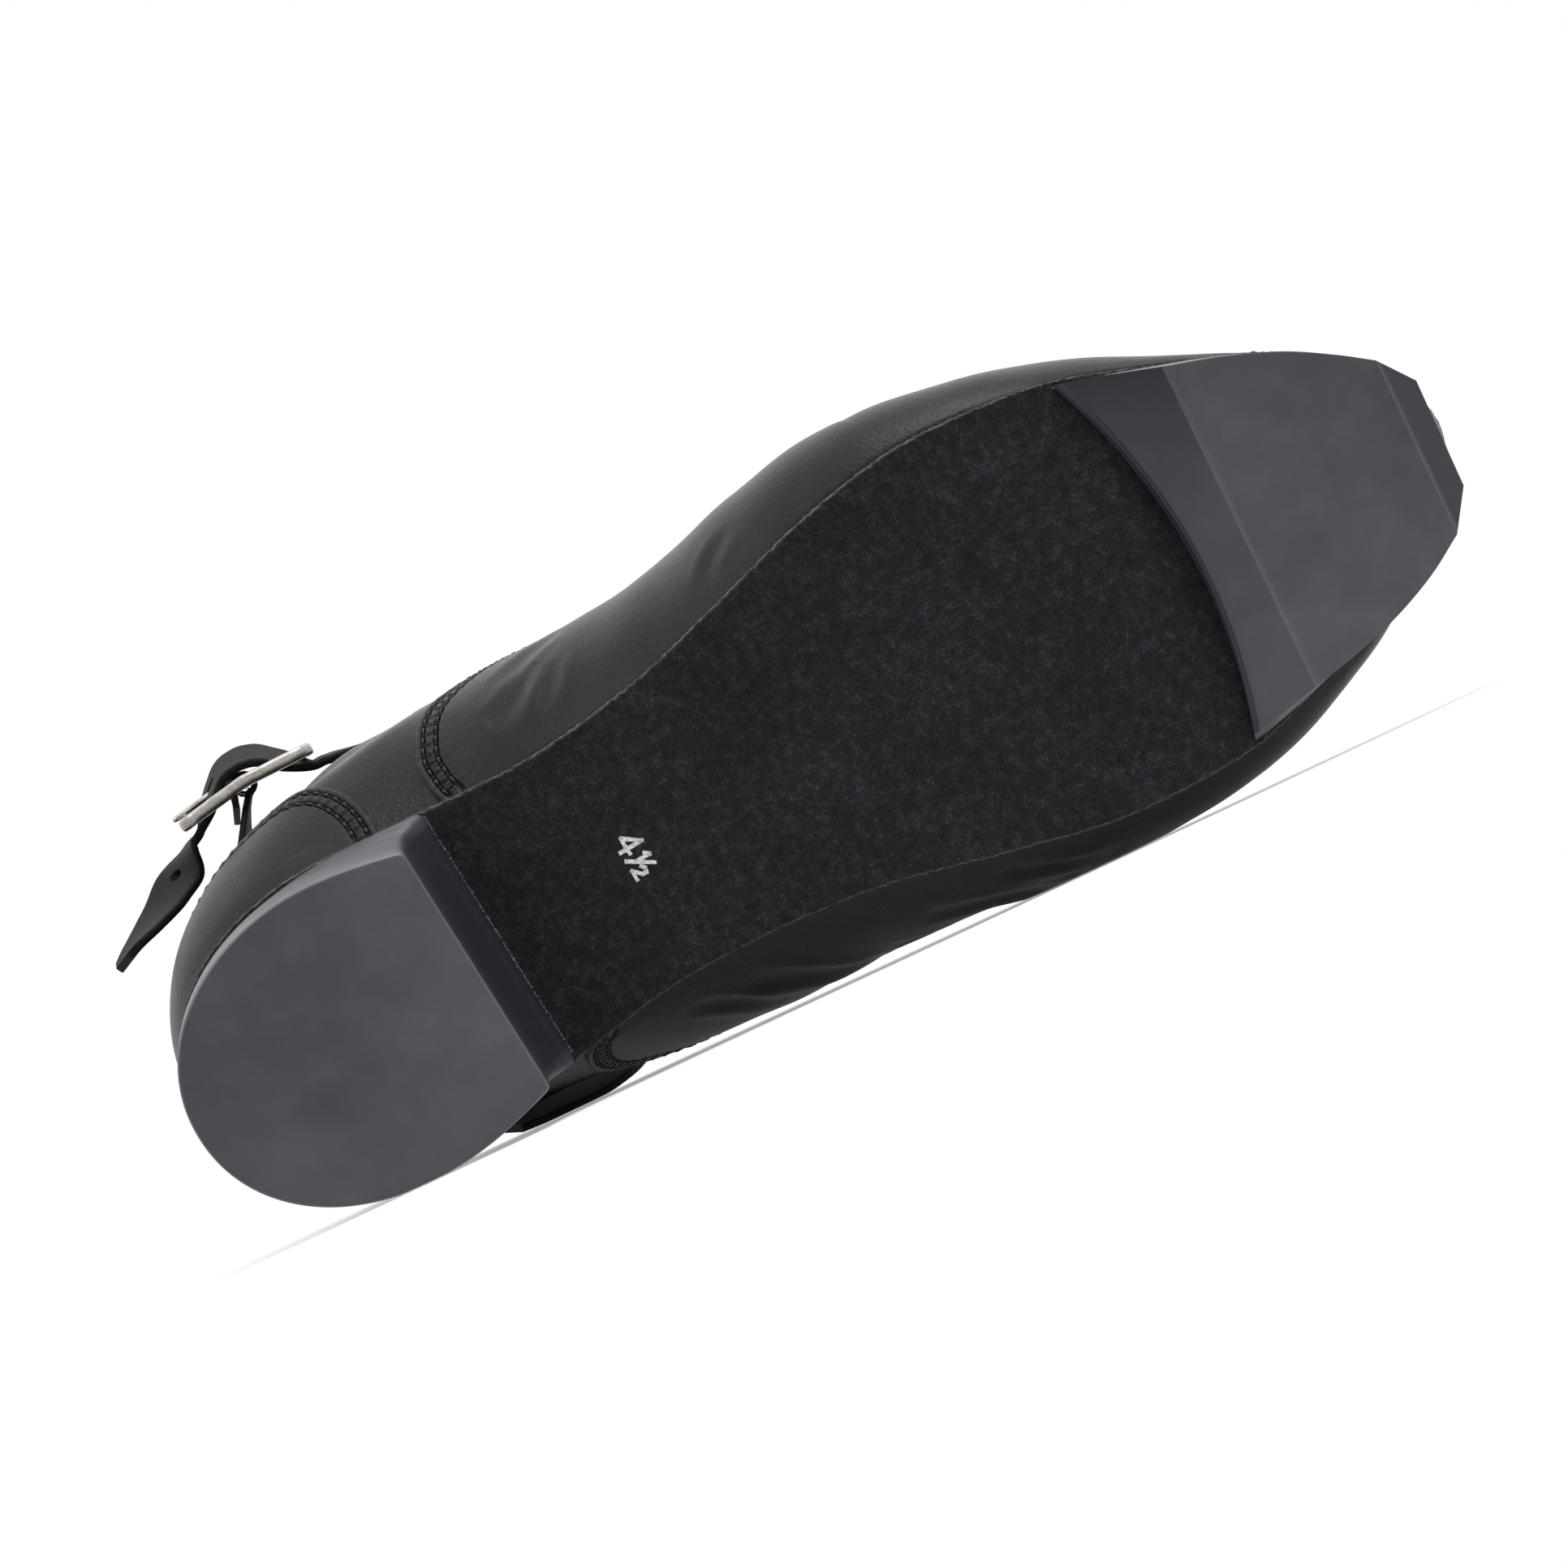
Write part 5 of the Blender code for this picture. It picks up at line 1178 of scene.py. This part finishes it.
def tongue():
    deep = WALL + 1.3

    def row(s, out):
        line = [skin(np.array(s), np.array(-1), np.array(v), -out, False) for v in TONGUE_V]
        back = [skin(np.array(s), np.array(1), np.array(v), -out, False) for v in reversed(TONGUE_V)]
        return line + [(line[-1] + back[0])/2] + back

    tops, unders = [], []
    outer, inner = row(TONGUE_AT[0], deep), row(TONGUE_AT[0], deep + TONGUE_T)
    cy = outer[len(TONGUE_V)][1]
    for dx, dz, share in reversed(TONGUE_TOP):
        lean = min(1.0, dz/14.0)
        a, b = [], []
        for p, q in zip(outer, inner):
            y = cy + (p[1] - cy)*share
            z = p[2] + (outer[len(TONGUE_V)][2] - p[2])*0.35*lean + dz
            x = p[0] + dx - abs(p[1] - cy)*0.16*lean
            a.append(np.array((x, y, z)))
            d = np.array((-0.30 - 0.55*lean, 0.0, -1.0 + 0.45*lean))
            b.append(np.array((x, cy + (q[1] - cy)*share, z)) + d/np.linalg.norm(d)*TONGUE_T)
        tops.append(a); unders.append(b)
    for s in TONGUE_AT:
        tops.append(row(s, deep)); unders.append(row(s, deep + TONGUE_T))
    tops, unders = np.array(tops), np.array(unders)

    def finer(g):
        g = rows_at(g.reshape(len(g), -1), np.linspace(0, len(g) - 1, 110)).reshape(110, -1, 3)
        g = g.transpose(1, 0, 2)
        g = rows_at(g.reshape(len(g), -1), np.linspace(0, len(g) - 1, 56)).reshape(56, -1, 3)
        return g.transpose(1, 0, 2)

    a, b = finer(tops), finer(unders)
    mid = (a[:, :1] + b[:, :1])/2
    end = (a[:, -1:] + b[:, -1:])/2
    out0 = (a[:, :1] - a[:, 2:3]); out0 /= np.linalg.norm(out0, axis=2, keepdims=True)
    out1 = (a[:, -1:] - a[:, -3:-2]); out1 /= np.linalg.norm(out1, axis=2, keepdims=True)
    rings = np.concatenate((a, end + out1*0.5, b[:, ::-1], mid + out0*0.5), 1)
    ob = loft("tongue_leather", rings, STRAPS, smooth=60, weld=None)
    return done(ob, "black_leather", "tongue")


tongue()

# ------------------------------------------------------------------ lacing
for k, at in enumerate(LACE_AT):
    lift = 1.25 + 0.45
    g = lambda sd, v: wall(np.array(at), np.array(sd), np.array(v)) + normal(np.array(at), np.array(sd), np.array(v))*lift
    pts = [g(-1, 0.915), g(-1, 0.95), g(-1, 0.985)]
    end = [g(1, 0.985), g(1, 0.95), g(1, 0.915)]
    ctrl = np.array(pts + [(pts[-1] + end[0])/2 + np.array((0.0, 0.0, 0.3))] + end)
    path = rows_at(ctrl, np.linspace(0, len(ctrl) - 1, 60))
    tt = np.linspace(0, 1, 60)
    r = 1.22*(1 - 0.35*np.clip(1 - tt/0.05, 0, 1) - 0.35*np.clip(1 - (1 - tt)/0.05, 0, 1)) + 0.05*np.sin(tt*90)
    done(tube("lace_%d" % (k + 1), path, r, CORD, sides=14, weld=None), "black_cord", "lace_bar_%d" % (k + 1))

# ------------------------------------------------------------------ strap, buckle
STRAP_W, STRAP_T, TAB_W, TAB_T, BAR_R = 14.0, 1.6, 11.2, 1.2, 1.0
FRAME_L, FRAME_H, FRAME_W, FRAME_T = 28.6, 20.6, 2.5, 2.0
BUCKLE = np.array((33.6, -44.4, 84.0))
B_U = np.array((1.0, 0.0, 0.0))
B_H = np.array((-0.05, 0.03, 1.0))/np.linalg.norm((-0.05, 0.03, 1.0))
B_W = np.cross(B_U, B_H)/np.linalg.norm(np.cross(B_U, B_H))
B_U = np.cross(B_H, B_W)


def buckle(u, w, h=0.0):
    return BUCKLE + B_U*u + B_W*w + B_H*h


def plain_skin(s, side, v, lift):
    return skin(np.array(float(s)), np.array(side), np.array(float(v)), lift, False)


SL = 0.45 + STRAP_T/2
UP = (0.0, 0.0, 1.0)
LEAN = (0.0, -0.20, 1.0)   # its face shows past the frame; upright where it passes under the frame's ends
STRAP = np.array((
    (*plain_skin(3.45, 1, 0.64, SL + 0.3), -0.5, -0.12, 0.86, 0.8), (*plain_skin(3.8, 1, 0.72, SL + 0.3), -0.55, -0.14, 0.83, 1.0),
    (*plain_skin(4.25, 1, 0.83, SL + 0.7), -0.6, -0.2, 0.8, 1.0), (69.0, 37.0, 88.0, -0.6, -0.22, 0.79, 1.0),
    (79.5, 31.0, 96.8, -0.58, -0.2, 0.8, 1.0), (88.0, 18.5, 103.6, -0.55, -0.1, 0.83, 1.0), (91.0, 1.5, 105.6, -0.52, 0.0, 0.85, 1.0),
    (88.0, -15.5, 103.4, -0.55, 0.1, 0.83, 1.0), (78.5, -27.6, 97.4, -0.56, 0.18, 0.82, 1.0), (66.0, -35.2, 90.4, -0.4, 0.12, 0.91, 1.0),
    (*buckle(20.8, -5.4, 1.0), -0.15, 0.0, 1.0, 1.0), (*buckle(15.6, -4.2, 0.3), 0.0, 0.0, 1.0, 1.0), (*buckle(12.5, -3.5), *UP, 1.0),
    (*buckle(8.6, -0.2), *LEAN, 1.0), (*buckle(5.4, 3.0), *LEAN, 1.0), (*buckle(2.6, 4.4), *LEAN, 1.0), (*buckle(0.0, 4.7), *LEAN, 1.0),
    (*buckle(-2.6, 4.2), *LEAN, 1.0), (*buckle(-5.4, 2.3), *LEAN, 1.0), (*buckle(-8.5, -0.5), *LEAN, 1.0), (*buckle(-12.1, -3.6), *UP, 1.0),
    (*buckle(-15.0, -4.9), -0.1, -0.04, 1.0, 1.0), (14.4, -36.0, 81.4, -0.62, -0.2, 0.8, 1.0), (9.4, -33.0, 77.8, -0.52, -0.15, 0.85, 1.0),
    (4.0, -30.7, 73.4, -0.34, -0.06, 0.95, 1.0), (0.2, -29.2, 70.0, -0.16, 0.0, 1.0, 0.92), (-1.6, -28.4, 68.6, -0.12, 0.03, 1.0, 0.55)))


def ribbon(name, rows, width, thick, mat, mat2, per=9, stitches=True, slot="black_leather", holes=()):
    path = rows_at(np.asarray(rows, float), np.linspace(0, len(rows) - 1, (len(rows) - 1)*per + 1))
    c = path[:, :3]
    t = np.gradient(c, axis=0)
    t /= np.linalg.norm(t, axis=1, keepdims=True)
    w = path[:, 3:6] - t*(t*path[:, 3:6]).sum(1, keepdims=True)
    w /= np.linalg.norm(w, axis=1, keepdims=True)
    n = np.cross(t, w)
    share = path[:, 6] if path.shape[1] > 6 else np.ones(len(path))
    half, d = width/2*share, thick/2
    ease = 0.42
    prof = []
    for a in np.linspace(-1, 1, 17):
        prof.append((a, 1.0, 0))
    section = [(a*1.0, 1.0) for a in np.linspace(-0.93, 0.93, 15)]
    section += [(0.975, 0.86), (1.0, 0.45), (1.0, -0.45), (0.975, -0.86)]
    section += [(a, -1.0) for a in np.linspace(0.93, -0.93, 15)]
    section += [(-0.975, -0.86), (-1.0, -0.45), (-1.0, 0.45), (-0.975, 0.86)]
    wob = 1 + 0.012*np.sin(np.arange(len(path))*0.7)
    rings = np.array([[c[i] + w[i]*half[i]*wob[i]*x - n[i]*d*y for x, y in section] for i in range(len(path))])
    ob = loft(name, rings, mat, smooth=50, weld=None)
    if mat2 is not None:
        ob.data.materials.append(mat2)
        # the flesh side faces the foot
        k = len(section)
        idx = np.zeros(len(ob.data.polygons), np.int32)
        for q in range(len(ob.data.polygons)):
            if q < (len(path) - 1)*k:
                j = q % k
                if 18 <= j <= 33:
                    idx[q] = 1
        ob.data.polygons.foreach_set("material_index", idx)
    if stitches:
        for sgn in (-1, 1):
            for face in (1, -1):
                ok = slice(6, len(path) - 6)
                p = c + w*(half - 1.7)[:, None]*sgn - n*d*face
                stitch_row(p[ok], -n[ok]*face, pitch=2.5, length=1.75, radius=0.2, lift=0.02)
    return done(ob, slot), path, c, w, n, half


strap, *_rest = ribbon("ankle_strap_leather", STRAP, STRAP_W, STRAP_T, STRAPS, FLESH, stitches=False)
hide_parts("ankle_strap")


def cutter(name, verts, faces):
    me = bpy.data.meshes.new(name)
    me.from_pydata([tuple(p) for p in world(verts)], [], faces)
    bm = bmesh.new(); bm.from_mesh(me)
    bmesh.ops.recalc_face_normals(bm, faces=bm.faces)
    bm.to_mesh(me); bm.free()
    ob = bpy.data.objects.new(name, me)
    bpy.context.scene.collection.objects.link(ob)
    return ob


def cut_out(ob, tool):
    m = ob.modifiers.new("cut", "BOOLEAN")
    m.object = tool
    m.operation = "DIFFERENCE"
    m.solver = "EXACT"
    bpy.context.view_layer.update()
    dg = bpy.context.evaluated_depsgraph_get()
    me = bpy.data.meshes.new_from_object(ob.evaluated_get(dg))
    if not me.polygons:
        raise RuntimeError("the cut left nothing of " + ob.name)
    ob.modifiers.clear()
    ob.data = me
    bpy.data.objects.remove(tool, do_unlink=True)


for c_, d_, along, across in (
        (tuple(buckle(-5.7, 2.05)), (-0.72, -1.0, 0.0), 2.6, 1.15), ((14.4, -36.0, 81.4), (-0.65, -0.75, 0.0), 1.3, 1.3)):
    c_, d_ = np.array(c_), np.array(d_)/np.linalg.norm(d_)
    u_ = np.cross(d_, UP); u_ /= np.linalg.norm(u_); w_ = np.cross(u_, d_)
    ang = np.linspace(0, 2*math.pi, 24, endpoint=False)
    vv = np.array([c_ + d_*reach + u_*along*math.cos(a) + w_*across*math.sin(a) for reach in (-3, 3) for a in ang])
    fcs = grid_faces(2, 24, closed=True) + [tuple(range(24))[::-1], tuple(range(24, 48))]
    cut_out(strap, cutter("hole_tool", vv, fcs))


def rounded(hu, hh, r, n=10):
    pts = []
    for k, (su, sh) in enumerate(((1, 1), (-1, 1), (-1, -1), (1, -1))):
        for i in range(n + 1):
            a = math.pi/2*(k + i/n)
            pts.append((su*(hu - r) + r*math.cos(a), sh*(hh - r) + r*math.sin(a)))
    return np.array(pts)


def resample(q, k):
    loop = np.vstack((q, q[:1]))
    a = arc_len(loop)
    f = np.linspace(0, a[-1], k, endpoint=False)
    return np.c_[np.interp(f, a, loop[:, 0]), np.interp(f, a, loop[:, 1])]


def buckle_frame():
    """A frame with a domed section, bent a little at its middle bar."""
    k = 220
    outer = resample(rounded(FRAME_L/2, FRAME_H/2, 4.0), k)
    inner = resample(rounded(FRAME_L/2 - FRAME_W, FRAME_H/2 - FRAME_W, 1.6), k)
    # match the two outlines by direction from the middle
    ao, ai = np.arctan2(outer[:, 1]/FRAME_H, outer[:, 0]/FRAME_L), np.arctan2(inner[:, 1]/(FRAME_H-5), inner[:, 0]/(FRAME_L-5))
    order = np.argsort(ai)
    inner = np.c_[np.interp(ao, ai[order], inner[order, 0], period=2*math.pi), np.interp(ao, ai[order], inner[order, 1], period=2*math.pi)]
    rings = []
    for i in range(k):
        o, n_ = outer[i], inner[i]
        ring = []
        for a in np.linspace(0, 2*math.pi, 16, endpoint=False):
            f = 0.5 + 0.5*math.copysign(abs(math.cos(a))**0.6, math.cos(a))
            h = 1.25*math.copysign(abs(math.sin(a))**0.7, math.sin(a))
            q = n_ + (o - n_)*f
            bend = -0.085*max(0.0, abs(q[0]) - 0.5)
            ring.append(buckle(q[0], h + bend + 0.45, q[1]))
        rings.append(ring)
    rings = np.array(rings)
    faces = grid_faces(k, 16, closed=True)
    faces += [((k-1)*16 + j, (k-1)*16 + (j+1) % 16, (j+1) % 16, j) for j in range(16)]
    ob = add("buckle_frame_metal", rings.reshape(-1, 3), faces, METAL, smooth=60, weld=None, recalc=True)
    reach = FRAME_H/2 - FRAME_W + 1.2
    bar = tube("buckle_bar", np.array([buckle(0, 0, h) for h in np.linspace(-reach, reach, 12)]), BAR_R, METAL, sides=20, hint=np.tile(B_U, (12, 1)), weld=None)
    done(bar, "antique_nickel")
    return done(ob, "antique_nickel", "buckle_frame")


buckle_frame()

PR = 0.6
ring_r = BAR_R + 0.3 + PR
arc_ = [math.radians(90 - 20*k) for k in range(14)]
prong = [buckle(-14.9, 1.15), buckle(-14.2, 1.15), buckle(-12.0, 1.3), buckle(-8.0, 1.6), buckle(-4.0, 1.85), buckle(-1.6, 1.92)]
prong += [buckle(ring_r*math.cos(a), ring_r*math.sin(a)) for a in arc_]
pp = rows_at(np.array(prong), np.linspace(0, len(prong) - 1, 110))
done(tube("prong_metal", pp, np.r_[np.linspace(0.35, PR, 8), np.full(102, PR)], METAL, sides=14, hint=np.tile(B_H, (110, 1)), weld=None), "antique_nickel", "buckle_prong")


def tab():
    r = BAR_R + 0.3 + TAB_T/2

    def on_wall(at, v, lift):
        up = plain_skin(at, -1, min(v + 0.05, 1.0), lift) - plain_skin(at, -1, v - 0.05, lift)
        return (*plain_skin(at, -1, v, lift), *(up/np.linalg.norm(up)))

    rows = [(*buckle(-4.4, -4.4, -1.4), *B_H), (*buckle(-3.1, -1.9, -0.5), *B_H), (*buckle(-2.75, -0.4), *B_H), (*buckle(-1.5, 1.2), *B_H)]
    rows += [(*buckle(r*math.cos(a), r*math.sin(a)), *B_H) for a in [math.radians(100 - 20*k) for k in range(10)]]
    end = np.array((rows[-1], (*buckle(-1.6, -3.9, -0.8), *B_H), on_wall(2.75, 0.86, 2.4), on_wall(2.5, 0.80, 1.35), on_wall(2.3, 0.76, 1.35)))
    end = np.vstack((end[:1], end, end[-1:]))
    rows += [tuple(r) for r in rows_at(end, np.linspace(1, 5, 13))[1:]]
    ob, *_ = ribbon("buckle_tab_leather", rows, TAB_W, TAB_T, STRAPS, None, per=1, stitches=False)
    bm = bmesh.new()
    bm.from_mesh(ob.data)
    bmesh.ops.triangulate(bm, faces=bm.faces)
    bm.to_mesh(ob.data)
    bm.free()
    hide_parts("buckle_tab")
    b = np.array([(x, y, z) for x in (-4.2, 4.2) for y in (-3.6, 3.6) for z in (-1.1, 1.1)])
    vv = np.array([BUCKLE + B_W*0.2 + np.array(q) for q in b])
    cut_out(ob, cutter("slot_tool", vv, [(0, 1, 3, 2), (4, 6, 7, 5), (0, 4, 5, 1), (2, 3, 7, 6), (0, 2, 6, 4), (1, 5, 7, 3)]))
    return ob


tab()

done(add("stitching", np.vstack(STITCH["verts"]), STITCH["faces"], THREAD, smooth=None, weld=None), "black_leather")
# painted shade in the needle holes and the eyelet holes
done(add("needle_hole_shade", np.vstack(HOLE_SHADE_DISCS["verts"]), HOLE_SHADE_DISCS["faces"], HOLE_SHADE, smooth=None, weld=None), "black_leather")

# ------------------------------------------------------------------ camera
R0 = np.array(((0.8346349, 0.5086347, -0.2113654), (-0.5247169, 0.8509301, -0.0242919), (0.1675015, 0.1311818, 0.9771052)))
T0 = np.array((-166.80645, 78.74594, 645.59999))
F_PX = 3417.94
eye = -R0.T @ T0
axis = np.array(((605 - 966)/F_PX, (1066 - 966)/F_PX, 1.0))
axis /= np.linalg.norm(axis)
right = np.array((1.0, 0, 0)) - axis[0]*axis
right /= np.linalg.norm(right)
down = np.cross(axis, right)
to_world = LIE @ R0.T
cam_axes = np.column_stack((to_world @ right, -(to_world @ down), -(to_world @ axis)))
cam_data = bpy.data.cameras.new("camera")
cam_data.sensor_width = 36.0
cam_data.lens = 90.47
cam_data.clip_start = 0.01
cam_data.clip_end = 50.0
cam = bpy.data.objects.new("camera", cam_data)
bpy.context.scene.collection.objects.link(cam)
cam.matrix_world = Matrix.Translation(Vector(world(eye[None])[0])) @ Matrix(cam_axes.tolist()).to_4x4()
bpy.context.scene.camera = cam
P_RIGHT, P_UP, P_BACK = (Vector(cam_axes[:, i]) for i in range(3))

# ------------------------------------------------------------------ floor, light
floor_me = bpy.data.meshes.new("floor")
fb = bmesh.new()
bmesh.ops.create_circle(fb, cap_ends=True, segments=96, radius=1.5)
fb.to_mesh(floor_me)
fb.free()
floor = bpy.data.objects.new("floor", floor_me)
bpy.context.scene.collection.objects.link(floor)
fm, nt, b = new_material("pale_floor")
b.inputs["Base Color"].default_value = (0.93, 0.93, 0.93, 1)
b.inputs["Roughness"].default_value = 0.9
b.inputs["Specular IOR Level"].default_value = 0.1
co = node(nt, "ShaderNodeTexCoord").outputs["Object"]
ln = node(nt, "ShaderNodeVectorMath", operation="LENGTH")
nt.links.new(co, ln.inputs[0])
fade = node(nt, "ShaderNodeMapRange", interpolation_type="SMOOTHSTEP")
fade.inputs["From Min"].default_value = 0.06
fade.inputs["From Max"].default_value = 0.19
fade.inputs["To Min"].default_value = 0.7
fade.inputs["To Max"].default_value = 0.0
nt.links.new(ln.outputs["Value"], fade.inputs["Value"])
nt.links.new(fade.outputs["Result"], b.inputs["Alpha"])
floor_me.materials.append(fm)

world_ = bpy.data.worlds.new("studio")
bpy.context.scene.world = world_
world_.use_nodes = True
wt = world_.node_tree
bg = wt.nodes["Background"]
bg.inputs["Color"].default_value = (1, 1, 1, 1)
# the photo's backdrop is bright behind and above the shoe, and the room in front is darker
way = wt.nodes.new("ShaderNodeVectorMath")
way.operation = "DOT_PRODUCT"
wt.links.new(node(wt, "ShaderNodeTexCoord").outputs["Generated"], way.inputs[0])
way.inputs[1].default_value = (P_UP*0.78 - P_BACK*0.40 - P_RIGHT*0.38).normalized()
room = wt.nodes.new("ShaderNodeMapRange")
room.interpolation_type = "SMOOTHSTEP"
for key, value in (("From Min", 0.25), ("From Max", 0.92), ("To Min", 0.80), ("To Max", 1.45)):
    room.inputs[key].default_value = value
wt.links.new(way.outputs["Value"], room.inputs["Value"])
seen = node(wt, "ShaderNodeLightPath").outputs["Is Camera Ray"]
wt.links.new(math_node(wt, "MAXIMUM", seen, math_node(wt, "MULTIPLY", room.outputs["Result"], math_node(wt, "SUBTRACT", 1.0, seen))), bg.inputs["Strength"])


def softbox(name, place, target, size, power):
    d = bpy.data.lights.new(name, "AREA")
    d.shape = "RECTANGLE"
    d.size, d.size_y = size
    d.energy = power
    o = bpy.data.objects.new(name, d)
    bpy.context.scene.collection.objects.link(o)
    o.location = place
    o.rotation_euler = (Vector(target) - Vector(place)).to_track_quat("-Z", "Y").to_euler()
    return o


MID = Vector((0.0, -0.02, 0.05))
softbox("overhead", MID + P_UP*0.9 + P_BACK*0.25 - P_RIGHT*0.15, MID, (0.5, 0.35), 5.0)
softbox("left_fill", MID - P_RIGHT*1.0 + P_BACK*0.5 + P_UP*0.4, MID, (0.4, 0.6), 2.5)

bpy.context.scene.view_settings.view_transform = "Standard"
bpy.context.scene.view_settings.look = "None"
